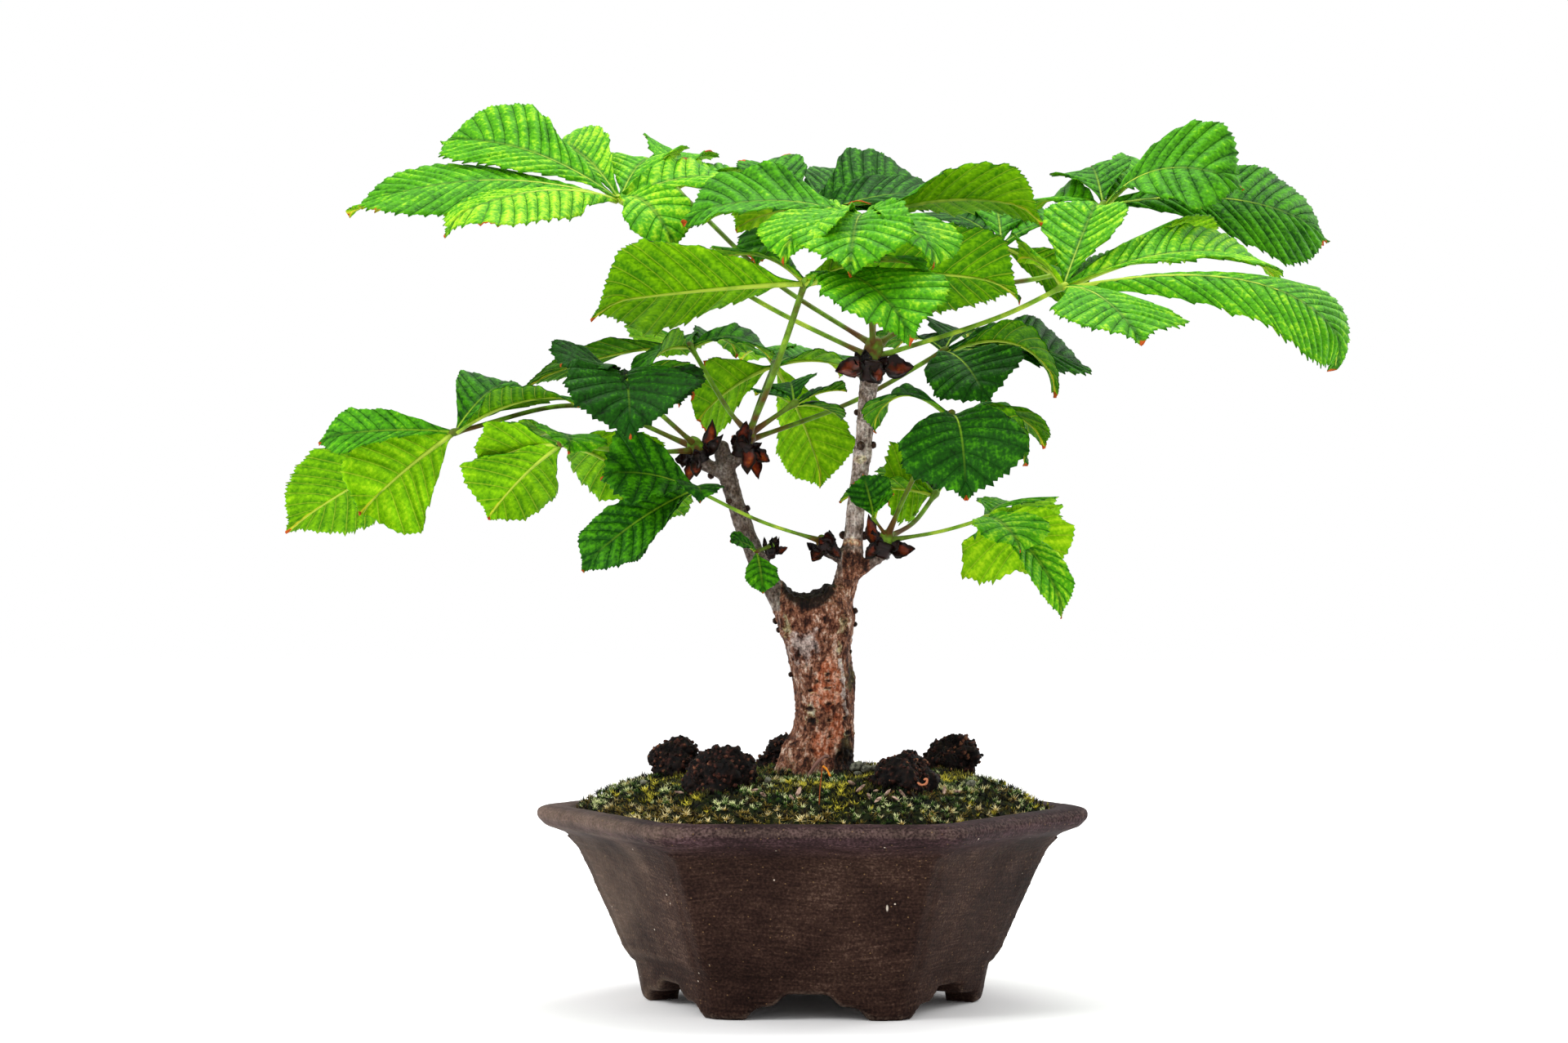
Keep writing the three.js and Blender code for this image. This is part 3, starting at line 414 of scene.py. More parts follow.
def leaf_finish(name, colours, puff_light, side_vein, vein_foot, gutter, midrib, rib_end, dip, roughness):
    """A horse chestnut blade: puffed between its side veins, wrinkled across, with scorched edge spots."""
    made, tree, spot = finish_named(name)
    aside, _, vein = marks_on(tree, "leaf")
    tone, along, burn = marks_on(tree, "tone")
    # Mottle of 12 mm patches.
    mottle = add(tree, "TexNoise", {"Vector": spot, "Scale": 85.0, "Detail": 5.0, "Roughness": 0.6})
    # Side veins lie where the phase is whole, half a millimetre wide; the puffs are between them, lit in
    # their middle and darker by the veins: painted light and shade.
    phase = add(tree, "Math", {0: vein}, operation="FRACT")
    off = add(tree, "Math", {0: phase, 1: 0.5}, operation="SUBTRACT")
    near = add(tree, "Math", {0: off}, operation="ABSOLUTE")
    painted_puff_light = add(tree, "MapRange", {0: near, 1: 0.5, 2: 0.0, 3: -puff_light, 4: puff_light})
    # The finest cross veins run from side vein to side vein, 1.2 mm apart.
    across = add(tree, "Math", {0: aside, 1: 0.85}, operation="MULTIPLY")
    between = add(tree, "Math", {0: vein, 1: 1.1}, operation="MULTIPLY")
    net_place = add(tree, "CombineXYZ", {"X": across, "Y": between, "Z": tone})
    net = add(tree, "TexNoise", {"Vector": net_place, "Scale": 1.0, "Detail": 3.0})
    wrinkle = add(tree, "MapRange", {0: net, 1: 0.3, 2: 0.7, 3: -0.07, 4: 0.07})
    grain = add(tree, "TexNoise", {"Vector": spot, "Scale": 620.0, "Detail": 3.0})
    rough = add(tree, "MapRange", {0: grain, 1: 0.3, 2: 0.7, 3: -0.13, 4: 0.13})
    fine = add(tree, "Math", {0: wrinkle, 1: rough}, operation="ADD")
    total = add(tree, "MapRange", {0: mottle, 3: 0.2, 4: 0.8})
    for more in (tone, painted_puff_light, fine):
        total = add(tree, "Math", {0: total, 1: more}, operation="ADD")
    level = add(tree, "MapRange", {0: total, 1: 0.5, 2: 1.6})
    skin = add(tree, "ValToRGB", {"Fac": level}, stops=list(zip((0.0, 0.35, 0.68, 1.0), colours)))
    # Vein lines: on the upper side their dark colour is painted shade in the grooves.
    line = add(tree, "MapRange", {0: near, 1: vein_foot, 2: 0.5, 3: 0.0, 4: 0.55})
    # The midrib lies in a shaded gutter on the upper side, and is palest near the stalk.
    span = add(tree, "Math", {0: aside}, operation="ABSOLUTE")
    sunk = add(tree, "MapRange", {0: span, 1: 0.4, 2: 1.9, 3: gutter, 4: 0.0})
    middle = add(tree, "MapRange", {0: span, 1: 0.25, 2: 0.6, 3: 1.0, 4: 0.0})
    paling = add(tree, "MapRange", {0: along, 1: 0.1, 2: 0.9, 3: 0.95, 4: rib_end})
    rib = add(tree, "Math", {0: middle, 1: paling}, operation="MULTIPLY")
    scorch = add(tree, "Math", {0: mottle, 1: burn}, operation="MULTIPLY")
    burnt = add(tree, "MapRange", {0: scorch, 1: 0.46, 2: 0.52})
    for amount, colour in ((line, side_vein), (sunk, side_vein), (rib, midrib), (burnt, "#ae4d1a")):
        skin = add(tree, "Mix", {0: amount, 6: skin, 7: linear(colour)}, out=2, data_type="RGBA")
    dips = add(tree, "Math", {0: line, 1: dip}, operation="MULTIPLY")
    height = add(tree, "Math", {0: dips, 1: fine}, operation="ADD")
    skin_with(tree, skin, roughness, 0.07, height, 0.6, 0.0012)
    return made


def stalk_finish(green):
    """A leaf stalk: smooth yellow-green, ripening to red-brown in streaks and flecks."""
    made, tree, spot = finish_named("leaf_stalk_green")
    _, ripe, _ = marks_on(tree, "tone")
    patch = add(tree, "TexNoise", {"Vector": spot, "Scale": 110.0, "Detail": 5.0})
    total = add(tree, "Math", {0: patch, 1: ripe}, operation="ADD")
    colour = add(tree, "ValToRGB", {"Fac": total}, stops=[
        (0.3, "#a4bc38"), (0.46, green), (0.62, "#52681a"), (0.76, "#5b4417"), (0.95, "#451f10")])
    skin_with(tree, colour, 0.5, 0.15)
    return made


ROWS_PER_VEIN = 6
LEAST_VEINS = 7
COLUMNS = 12
VEIN_SLANT = 0.2
BLADE_THICKNESS = 0.4
# How far out the edge stands at each row of a vein's share: one tooth at the vein, two smaller between.
TOOTH = (0.9, -0.3, 0.55, -0.3, 0.4, -0.35)
# Where along its length a blade begins to droop, over how much of it, and where its midrib ends.
DROOP_FROM, DROOP_OVER = 0.8, 0.2
RIB_END = 0.97
RIB_STEPS, RIB_SIDES = 14, 6
STALK_STEPS, STALK_SIDES = 26, 10
# Beyond its hub a stalk ends in a dome: how far on, and the share of the hub's radius there.
HUB_DOME = ((1.2, 0.92), (2.1, 0.65), (2.5, 0.25))


def leaflet(bm, marks, tones, hub, row, small, tone, scorch, chance):
    """One toothed, pleated leaflet with its raised midrib below."""
    x, y, z, width, tilt, rise, peak, fold = (*row, *LEAFLET_USUAL[len(row) - 5 :])
    tip = seen((x, y, z))
    root = hub + (tip - hub).normalized() * (0.5 if small else 1.2)
    turn = math.radians(tilt)
    face = Vector((0, -math.sin(turn), math.cos(turn)))
    chord = tip - root
    length = chord.length
    lift = (face - chord * (face.dot(chord) / chord.length_squared)).normalized()
    control = root + chord * peak + lift * (2 * rise * length)
    pitch = bpy.context.scene.bonsai_leaf.vein_pitch / MM
    veins = max(round(length / pitch), LEAST_VEINS)
    rows = veins * ROWS_PER_VEIN
    pleat = 0.031 * width
    tooth = min(max(0.03 * width, 0.4), 1.5)
    teeth = [chance.uniform(0.5, 1.3) for _ in range(veins + 1)]
    waves = chance.uniform(0.6, 1.6)
    wave_start = chance.random()
    wave_height = chance.uniform(0.4, 1) * 0.06 * width
    frill = chance.uniform(0.3, 1) * 0.035 * width
    margin = Vector((chance.uniform(0, 99), chance.uniform(0, 99), 0))
    shade = tone + chance.uniform(-0.12, 0.12)
    scorched = max(chance.random() ** 3.2, scorch)
    twist = chance.uniform(-0.4, 0.4)
    droop = chance.uniform(0.2, 1) ** 2 * 0.1 * length
    feet = [(k + chance.uniform(-0.18, 0.18) * (0 < k < veins)) / veins for k in range(veins + 1)] + [1]

    def ribbed(s):
        at = root * (1 - s) ** 2 + control * (2 * s * (1 - s)) + tip * s * s
        along = ((control - root) * (1 - s) + (tip - control) * s).normalized()
        normal = (face - along * face.dot(along)).normalized()
        return at, along, normal, along.cross(normal)

    def drooped(s):
        return droop * max(0, (s - DROOP_FROM) / DROOP_OVER) ** 2

    made = bmesh.ops.create_grid(bm, x_segments=COLUMNS, y_segments=rows, size=1)["verts"]
    for v in made:
        part = abs(v.co.x)
        side = 1 if v.co.x > 0 else -1
        out = 1 - (1 - part) ** 1.3
        step = round((v.co.y + 1) / 2 * rows)
        k, rest = divmod(step, ROWS_PER_VEIN)
        foot = feet[k] + (feet[k + 1] - feet[k]) * rest / ROWS_PER_VEIN
        edge = foot + VEIN_SLANT * 4 * foot * (1 - foot)
        s = foot + (edge - foot) * out**1.15
        ragged = margin + Vector((side * 2, 0, 4.5 * edge))
        uneven = 1 + 0.2 * noise.noise(ragged) + 0.1 * noise.noise(ragged * 3.1)
        reach = width / 2 * share_at(LEAFLET_OUTLINE, edge) * uneven
        fade = min(1, 6 * foot, 5 * (1 - foot))
        jag = TOOTH[rest] * tooth * fade * teeth[k] * (1 if part > 0.99 else 0.3 if part > 0.8 else 0)
        at, along, normal, across = ribbed(s)
        lateral = out * reach + jag * 0.75
        ridge = abs(math.sin(math.pi * step / ROWS_PER_VEIN)) ** 0.8
        height = fold * (1.5 - foot) * out * reach
        height += pleat * ridge * min(1, 3 * out) * (1 - 0.4 * out) * fade
        wave = math.sin(2 * math.pi * (waves * foot + wave_start + (0.25 if side > 0 else 0)))
        height += wave_height * wave * out * out
        height += frill * 2 * noise.noise(margin + Vector((side * 3, 7, 6 * edge))) * out**3 * fade
        height -= drooped(s)
        turned = twist * s
        lateral, height = (
            lateral * math.cos(turned) - side * height * math.sin(turned),
            height * math.cos(turned) + side * lateral * math.sin(turned))
        v.co = at + across * (side * lateral) + normal * height + along * (jag * 0.8 if part > 0.99 else 0)
        v[marks] = (side * out * reach, out, step / ROWS_PER_VEIN)
        patchy = 0.75 + 0.9 * noise.noise(margin * 0.1 + Vector((side * 3, 3 * out, 5 * foot)))
        burn = max(
            scorched * (0.25 + 0.9 * out**4) * (0.6 + 0.6 * foot) * patchy,
            1.25 * max(0, (foot - 0.93) / 0.07) ** 0.5)
        v[tones] = (shade, foot, burn)
    bmesh.ops.remove_doubles(bm, verts=made, dist=WELD)
    upper = faces_at([v for v in made if v.is_valid])
    smoothed(upper)
    thickened(bm, upper, BLADE_THICKNESS, 1)
    girth = 0.019 * width + 0.2
    centres, radii = [], []
    for k in range(RIB_STEPS + 1):
        s = RIB_END * k / RIB_STEPS
        at, _, normal, _ = ribbed(s)
        radii.append(girth * (1 - 0.85 * s))
        centres.append(at - normal * (0.35 + 0.35 * radii[-1] + drooped(s)))
    blade = len(bm.verts)
    tube(bm, centres, radii, RIB_SIDES, 2)
    for v in list(bm.verts)[blade:]:
        v[tones] = (tone, -0.2, 0)


def build_leaf(name, leaf, finishes):
    """One leaf: its stalk, its swollen hub and its leaflets."""
    shoot, climb, via, hub, tone, leaflets = leaf
    foot, direction, length, _ = SHOOTS[shoot]
    small = name in SMALL_LEAVES
    bm = bmesh.new()
    marks = bm.verts.layers.float_vector.new("leaf")
    tones = bm.verts.layers.float_vector.new("tone")
    chance = random.Random(name)
    hub = seen(hub)
    low = RING_TOP + STALK_RADIUS
    start = Vector(foot) + Vector(direction).normalized() * (low + (length - low) * climb)
    centres = spline([start, *(seen(p) for p in via), hub], STALK_STEPS)
    girth = 0.55 if small else 1
    slender = STALK_GIRTHS.get(name, bpy.context.scene.bonsai_leaf.stalk_radius / MM)
    radii = []
    for centre in centres:
        swollen = max(0, 1 - (hub - centre).length / 6) ** 1.5
        foot_swell = 0.9 * max(0, 1 - (centre - start).length / 14) ** 1.5
        radii.append(girth * (slender + foot_swell + (HUB_RADIUS - slender) * swollen))
    end = (centres[-1] - centres[-2]).normalized()
    for reach, share in HUB_DOME:
        centres.append(hub + end * (reach * girth))
        radii.append(HUB_RADIUS * girth * share)
    tube(bm, centres, radii, STALK_SIDES, 2)
    dull = 0 if name in BRIGHT_STALKS else 0.13
    for v in bm.verts:
        v[tones] = (tone, 0.25 * max(0, 1 - (v.co - start).length / 26) - 0.05 + dull, 0)
    for k, row in enumerate(leaflets):
        leaflet(
            bm, marks, tones, hub, row, small, tone + SHADED.get((name, k), 0), SCORCHED.get(name, 0), chance)
    piece(name + "_grown", bm, finishes, [name], PLANTED)


class GrowLeaves(bpy.types.Operator):
    """Grows every compound leaf with its stalk, veins and toothed edges"""

    bl_idname = "bonsai.leaves"
    bl_label = "Leaves"

    def execute(self, context):
        looks = context.scene.bonsai_leaf
        # Fresh horse chestnut leaf: waxy and soft green above, paler and dull below, where the veins stand
        # out yellow. Above, the dark side veins are painted shade in their grooves; below, the bright green
        # is partly painted light shining through.
        upper = leaf_finish(
            "leaf_upper_waxy", ("#041602", "#174c05", looks.upper, "#bce82c"), puff_light=0.09,
            side_vein="#0a3c05", vein_foot=0.44, gutter=0.6, midrib="#7fa822", rib_end=0.0, dip=-0.9,
            roughness=0.5)
        under = leaf_finish(
            "leaf_under_dull", ("#164400", "#3f7e00", looks.under, "#c4ea20"), puff_light=0.13,
            side_vein="#b8d030", vein_foot=0.45, gutter=0.0, midrib="#d2c830", rib_end=0.85, dip=0.7,
            roughness=0.65)
        stalk = stalk_finish(looks.stalk)
        for name, leaf in LEAVES.items():
            build_leaf(name, leaf, (upper, under, stalk))
        return {"FINISHED"}


# The pot.

IN_POT = Matrix.Translation(POT_AXIS) @ Matrix.Scale(MM, 4)
POT_VOXEL, POT_ROUNDS = 1.65, 2
# How fast rubbing grows with the edges and painted shade with the creases, and the most painted shade.
RUB_GROWTH, CREASE_SHADE_GROWTH, MOST_CREASE_SHADE = 3, 4.7, 0.55
LIP_FROM, LIP_BLEND = 73, 8
# The walls are a little fuller round this height than straight lines from foot to lip.
FULL_AT, FULL_OVER, FULLNESS = 50, 32, 1.3
ARRIS_LOW, ARRIS_HIGH, ARRIS_WIDTH = 18, 74, 7


class PotLooks(bpy.types.PropertyGroup):
    clay: tint("Clay", "#382720", "Usual colour of the walls")
    lip: tint("Lip", "#493538", "Usual colour of the rolled lip")
    # The dust colour also paints light on the walls to the left.
    dust_and_light: tint("Dust", "#94806f", "What lies on the arrises and the left walls")
    arris: FloatProperty(
        name="Arris", description="How far the corners stand out", default=0.0015, unit="LENGTH")


LIME_MARK = POT_AXIS + Vector((35, -88, 51)) * MM
LIME_SHRINK = (1, 0.02, 0.35)


def stoneware_finish(looks):
    """Unglazed iron-rich stoneware: drag lines, ochre and white grit, edges rubbed pale, a purplish lip,
    painted shade in the creases and painted light on the left walls.
    """
    made, tree, spot = finish_named("stoneware_unglazed")
    edge, on_lip, crease = marks_on(tree, "clay")
    cloud = add(tree, "TexNoise", {"Vector": spot, "Scale": 26.0, "Detail": 6.0, "Roughness": 0.62})
    # Drag lines 0.5 mm apart that curve gently over the walls.
    bent = add(tree, "TexNoise", {"Vector": spot, "Scale": 9.0, "Detail": 1.0}, out="Color")
    sway = add(tree, "VectorMath", {0: bent, 1: (0.02, 0.02, 0.045)}, operation="MULTIPLY")
    swayed = add(tree, "VectorMath", {0: spot, 1: sway}, operation="ADD")
    drawn = add(tree, "Mapping", {"Vector": swayed, "Scale": (60.0, 60.0, 1100.0)})
    lines = add(tree, "TexNoise", {"Vector": drawn, "Scale": 1.0, "Detail": 3.0})
    fine = add(tree, "TexNoise", {"Vector": spot, "Scale": 900.0, "Detail": 3.0})
    faint = add(tree, "MapRange", {0: lines, 3: 0.21, 4: 0.79})
    both = add(tree, "Math", {0: cloud, 1: faint}, operation="ADD")
    height = add(tree, "Math", {0: both, 1: fine}, operation="ADD")
    tone = add(tree, "MapRange", {0: height, 1: 1.08, 2: 1.95})
    wall = add(tree, "ValToRGB", {"Fac": tone}, stops=[
        (0.0, "#0e0706"), (0.36, "#251713"), (0.66, looks.clay), (1.0, "#5f4a3f")])
    lip = add(tree, "ValToRGB", {"Fac": tone}, stops=[
        (0.0, "#171011"), (0.4, "#2e2021"), (0.7, looks.lip), (1.0, "#665255")])
    skin = add(tree, "Mix", {0: on_lip, 6: wall, 7: lip}, out=2, data_type="RGBA")
    # Ochre grit of about 1 mm and white flecks of 0.4 mm.
    ochre = rare_flecks(tree, spot, 420.0, (0.10, 0.17), "X", (0.72, 0.74))
    white = rare_flecks(tree, spot, 260.0, (0.08, 0.13), "Y", (0.96, 0.965))
    # One lime mark the size of a rice grain on the front wall.
    moved = tuple(-a * b for a, b in zip(LIME_MARK, LIME_SHRINK))
    shrunk = add(tree, "Mapping", {"Vector": spot, "Location": moved, "Scale": LIME_SHRINK})
    from_mark = add(tree, "VectorMath", {0: shrunk}, out="Value", operation="LENGTH")
    limed = add(tree, "MapRange", {0: from_mark, 1: 0.0003, 2: 0.0006, 3: 0.8, 4: 0.0})
    # Dust and rubbing show on what juts out, broken up by the fine grain; the walls to the left are paled
    # with the same colour as painted light.
    rubbed = add(tree, "Math", {0: edge, 1: fine}, operation="MULTIPLY")
    across = add(tree, "SeparateXYZ", {0: spot}, out="X")
    left = add(tree, "MapRange", {0: across, 1: -0.042, 2: -0.08, 3: 0.0, 4: 0.55})
    painted_left_light = add(tree, "Math", {0: left, 1: cloud}, operation="MULTIPLY")
    rubbed = add(tree, "Math", {0: rubbed, 1: painted_left_light}, operation="ADD")
    worn_and_lit = add(tree, "MapRange", {0: rubbed, 1: 0.16, 2: 0.8, 3: 0.0, 4: 0.6})
    # Over grit and lime comes painted shade in the creases, and over all the dust and the painted light.
    for amount, colour in (
        (ochre, "#6d543a"), (white, "#cfc0b0"), (limed, "#d8cdbe"), (crease, "#120b09"), (worn_and_lit, looks.dust_and_light)):
        skin = add(tree, "Mix", {0: amount, 6: skin, 7: linear(colour)}, out=2, data_type="RGBA")
    skin_with(tree, skin, 0.6, 0.04, height, 0.5, 0.0005)
    return made


class ThrowPot(bpy.types.Operator):
    """Softens and weathers the clay pot"""

    bl_idname = "bonsai.pot"
    bl_label = "Pot"

    def execute(self, context):
        looks = context.scene.bonsai_pot
        bm = remeshed("pot", POT_VOXEL, POT_ROUNDS, IN_POT)
        marks = bm.verts.layers.float_vector.new("clay")
        for v in bm.verts:
            juts = jutting(v)
            lip = held((v.co.z - LIP_FROM) / LIP_BLEND)
            # The third mark is painted shade, deepest in the creases.
            v[marks] = (held(juts * RUB_GROWTH), lip, MOST_CREASE_SHADE * held(-juts * CREASE_SHADE_GROWTH))
        for v in bm.verts:
            wobble = 0.35 + 0.25 * noise.noise(v.co * 0.06) + 0.12 * noise.noise(v.co * 0.35)
            v.co += v.normal * wobble
            full = max(0, 1 - ((v.co.z - FULL_AT) / FULL_OVER) ** 2)
            flat = Vector((v.co.x, v.co.y, 0))
            outside = v.normal.dot(flat) > 0
            if full > 0 and outside:
                v.co += flat.normalized() * (FULLNESS * full)
            # The six corners are crisp arrises between the flat walls.
            turn = math.radians((math.degrees(math.atan2(v.co.y, v.co.x)) + 30) % 60 - 30)
            arris = max(0, 1 - abs(flat.length * math.sin(turn)) / ARRIS_WIDTH)
            if ARRIS_LOW < v.co.z < ARRIS_HIGH and outside:
                v.co += flat.normalized() * (looks.arris / MM * arris)
            v.co.z = max(v.co.z, 0)
        piece("pot_fired", bm, [stoneware_finish(looks)], ["pot"], IN_POT)
        # Black polythene mesh over the drainage hole, a little scuffed.
        polythene = mottled_finish(
            "polythene_black", 300.0, 4.0, [(0.4, "#0d0e0e"), (0.7, "#2b2c2c")], 0.45, 0.5)
        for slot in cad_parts["drain_mesh"].material_slots:
            slot.material = polythene
        return {"FINISHED"}


# The soil and its moss.

SOIL_EDGE, SOIL_RISE, SOIL_CORNER = 84.5, 17.0, 109.0
SOIL_VOXEL, SOIL_ROUNDS = 3.5, 3


def soil_share(x, y):
    """0 at the pot's axis, 1 at the edge of the hexagonal soil."""
    reach = SOIL_CORNER * math.cos(math.radians(30))
    return max(
        abs(x * math.cos(math.radians(a)) + y * math.sin(math.radians(a))) for a in (30, 90, 150)) / reach


def soil_top(x, y):
    """The height of the mounded, slightly bumpy soil."""
    share = soil_share(x, y)
    bumps = 1.3 * math.sin(x * 0.17 + 0.6) * math.cos(y * 0.21 + 1.1) + 0.9 * math.sin(x * 0.39 - y * 0.33)
    return SOIL_EDGE + SOIL_RISE * (1 - share**6) + bumps * (1 - share**3)


class MossLooks(bpy.types.PropertyGroup):
    cushion: tint("Cushion moss", "#4c7410", "Usual green of the cushion moss")
    olive: tint("Olive moss", "#7a7400", "Usual colour of the olive moss")
    straw: tint("Straw", "#c8a848", "Usual colour of the dry moss at the front")
    pitch: FloatProperty(
        name="Pitch", description="Distance between moss shoots", default=0.0025, unit="LENGTH")


def moss_finish(name, colours):
    """Moss leaves: dark at the foot as painted shade, bright and a little waxy at the tip with partly painted
    highlight, in patches of two greens.
    """
    made, tree, spot = finish_named(name)
    up, shade, _ = marks_on(tree, "moss")
    patch = add(tree, "TexNoise", {"Vector": spot, "Scale": 150.0, "Detail": 5.0})
    spread = add(tree, "MapRange", {0: patch, 1: 0.3, 2: 0.7, 3: -0.25, 4: 0.25})
    total = add(tree, "Math", {0: up, 1: shade}, operation="ADD")
    mixed = add(tree, "Math", {0: total, 1: spread}, operation="ADD")
    colour = add(tree, "ValToRGB", {"Fac": mixed}, stops=list(zip((0.15, 0.5, 0.78, 1.0), colours)))
    skin_with(tree, colour, 0.55, 0.25)
    return made


def shoot_template(name, blades, reach, girth, spread, shade, chance):
    """A moss shoot: a few pointed leaves that spread from one foot."""
    bm = bmesh.new()
    marks = bm.verts.layers.float_vector.new("moss")
    for k in range(blades):
        long = reach * chance.uniform(0.6, 1.15)
        made = bmesh.ops.create_cone(
            bm, cap_ends=True, segments=3, radius1=girth * chance.uniform(0.7, 1.2), radius2=0, depth=long)
        for v in made["verts"]:
            v[marks] = (0.5 + v.co.z / long, shade + chance.uniform(-0.05, 0.05), 0)
        lean = spread * chance.uniform(0.15, 1)
        turn = Matrix.Rotation(k * 2.4 + chance.uniform(-0.4, 0.4), 4, "Z") @ Matrix.Rotation(lean, 4, "Y")
        up = Matrix.Translation((0, 0, long / 2 - 0.2))
        flat = Matrix.Diagonal((0.55, 1.3, 1, 1))
        bmesh.ops.transform(bm, matrix=turn @ up @ flat, verts=made["verts"])
    return mesh_of(bm, name)


TRUNK_FOOT = Vector((2, -4))
TRUNK_SHADE, CAKE_SHADE = 30, 19
# How far the shoots of a bed are shifted towards dark or bright, the brightest partly as painted highlight;
# only the first few, the darkest, stand where shade is painted.
MOSS_SHADES = (-0.46, -0.32, -0.14, 0.1, 0.5)
SHADED_SHOOTS = 3


def in_shade(spot):
    """Whether a place on the soil lies by the trunk's foot or by a cake, where shade is painted on the moss.
    """
    if (spot.xy - TRUNK_FOOT).length < TRUNK_SHADE:
        return True
    return any((spot - seen(at)).xy.length < CAKE_SHADE for at in CAKES.values())


def moss_kind(spot, share, chance):
    """Which moss grows here: patches of cushion and olive, and dry straw at the front rim and in spots."""
    patch = noise.noise(spot * 0.045) + 0.35 * noise.noise(spot * 0.2)
    front = share > 0.915 + 0.03 * noise.noise(spot * 0.15) and spot.y < -20
    kind = "moss_olive" if patch > 0.1 else "moss_cushion"
    if patch < -0.2 and chance.random() < 0.35:
        kind = "moss_straw"
    if front and chance.random() < (0.9 if spot.x < 12 else 0.5):
        kind = "moss_straw"
    elif chance.random() < 0.03:
        kind = "moss_straw"
    return kind


class LayMoss(bpy.types.Operator):
    """Lays the soil and its three kinds of moss"""

    bl_idname = "bonsai.moss"
    bl_label = "Soil and moss"

    def execute(self, context):
        looks = context.scene.bonsai_moss
        bm = remeshed("soil", SOIL_VOXEL, SOIL_ROUNDS, IN_POT)
        for v in bm.verts:
            if v.co.z > SOIL_EDGE - 1:
                v.co.z += 0.5 + 0.9 * noise.noise(v.co * 0.25)
        # Dark potting soil shows between the moss shoots.
        soil = mottled_finish(
            "soil_peaty", 380.0, 5.0, [(0.3, "#0b0906"), (0.55, "#1d2410"), (0.75, "#3a3a1a")],
            0.95, 0.1, 0.8)
        piece("soil_mound", bm, [soil], ["soil"], IN_POT)

        # Each moss: its colours from foot to tip, the pale tips partly painted highlight, then a shoot's
        # leaves, their length, width and spread.
        chance = random.Random(11)
        kinds = {
            "moss_cushion": (("#010200", "#122c06", looks.cushion, "#f0f4b4"), 12, 2.7, 0.34, 1.4),
            "moss_olive": (("#040400", "#2e3002", looks.olive, "#e6d848"), 10, 3.2, 0.3, 1.1),
            "moss_straw": (("#160e02", "#6e5c18", looks.straw, "#fff0b4"), 14, 2.9, 0.28, 1.75),
        }
        beds = {name: [] for name in kinds}
        step = looks.pitch / MM
        across = int(2 * SOIL_CORNER / step)
        for row in range(across):
            for column in range(across):
                x = -SOIL_CORNER + (column + chance.uniform(-0.45, 0.45) + 0.5 * (row % 2)) * step
                y = -SOIL_CORNER + (row + chance.uniform(-0.45, 0.45)) * step
                share = soil_share(x, y)
                if share > 1:
                    continue
                spot = Vector((x, y, soil_top(x, y)))
                bed = beds[moss_kind(spot, share, chance)]
                tall = chance.uniform(0.75, 1.35)
                lean = Matrix.Rotation(chance.uniform(-0.35, 0.35), 4, "X") @ Matrix.Rotation(
                    chance.uniform(-0.35, 0.35), 4, "Y")
                turn = Matrix.Rotation(chance.uniform(0, 6.28), 4, "Z")
                bed.append(
                    Matrix.Translation(spot + Vector((0, 0, 0.2))) @ lean @ turn @ Matrix.Scale(tall, 4))
        for name, (colours, blades, reach, girth, spread) in kinds.items():
            templates = [
                shoot_template(name + "_shoot", blades, reach, girth, spread, shade, chance)
                for shade in MOSS_SHADES]
            bm = bmesh.new()
            # Only the darker shoots stand by the trunk's foot and the cakes: painted shade.
            for dark, shoots in ((False, templates), (True, templates[:SHADED_SHOOTS])):
                scatter(bm, shoots, [m for m in beds[name] if in_shade(m.translation) == dark], chance)
            piece(name, bm, [moss_finish(name, colours)], (), IN_POT)
            for template in templates:
                bpy.data.meshes.remove(template)
        return {"FINISHED"}


# The fertiliser cakes: the middle of each.

CAKES = {
    "cake_back_left": (-61.5, 4, 107),
    "cake_front_left": (-42, -56, 102),
    "cake_back": (-14.5, 40, 110),
    "cake_front_right": (41, -56, 101),
    "cake_back_right": (63.5, 25, 109.6),
}


class CakeLooks(bpy.types.PropertyGroup):
    cake: tint("Cake", "#170b07", "Usual colour of the pressed crumbs")
    crumbs: IntProperty(name="Crumbs", description="Loose crumbs on each lump", default=420, min=0)


def cake_finish(usual):
    """Pressed oil-seed cake: near-black crumbs with a few tan husks, darker in the creases and paler on the
    bumps, as painted shade and highlight.
    """
    made, tree, spot = finish_named("oil_cake_crumbly")
    tone, _, _ = marks_on(tree, "crumb")
    crumb = add(tree, "TexNoise", {"Vector": spot, "Scale": 420.0, "Detail": 4.0})
    total = add(tree, "Math", {0: crumb, 1: tone}, operation="ADD")
    colour = add(tree, "ValToRGB", {"Fac": total}, stops=[
        (0.3, "#030101"), (0.52, usual), (0.74, "#40211a"), (1.0, "#7c5138")])
    husks = rare_flecks(tree, spot, 300.0, (0.15, 0.25), "X", (0.965, 0.97))
    skin = add(tree, "Mix", {0: husks, 6: colour, 7: linear("#b08456")}, out=2, data_type="RGBA")
    skin_with(tree, skin, 0.7, 0.12, crumb, 0.7)
    return made


def crumb_template(tone, chance):
    """An angular crumb, about a millimetre in radius."""
    bm = bmesh.new()
    marks = bm.verts.layers.float_vector.new("crumb")
    bmesh.ops.create_icosphere(bm, subdivisions=1, radius=1)
    for v in bm.verts:
        v.co *= chance.uniform(0.7, 1.25)
        v[marks] = (tone + chance.uniform(-0.08, 0.08), 0, 0)
    return mesh_of(bm, "crumb")


CAKE_VOXEL, CAKE_ROUNDS = 0.75, 3
CRUMB_TONES = (-0.2, -0.08, 0, 0.1, 0.32)
BROKEN_FACES = 8


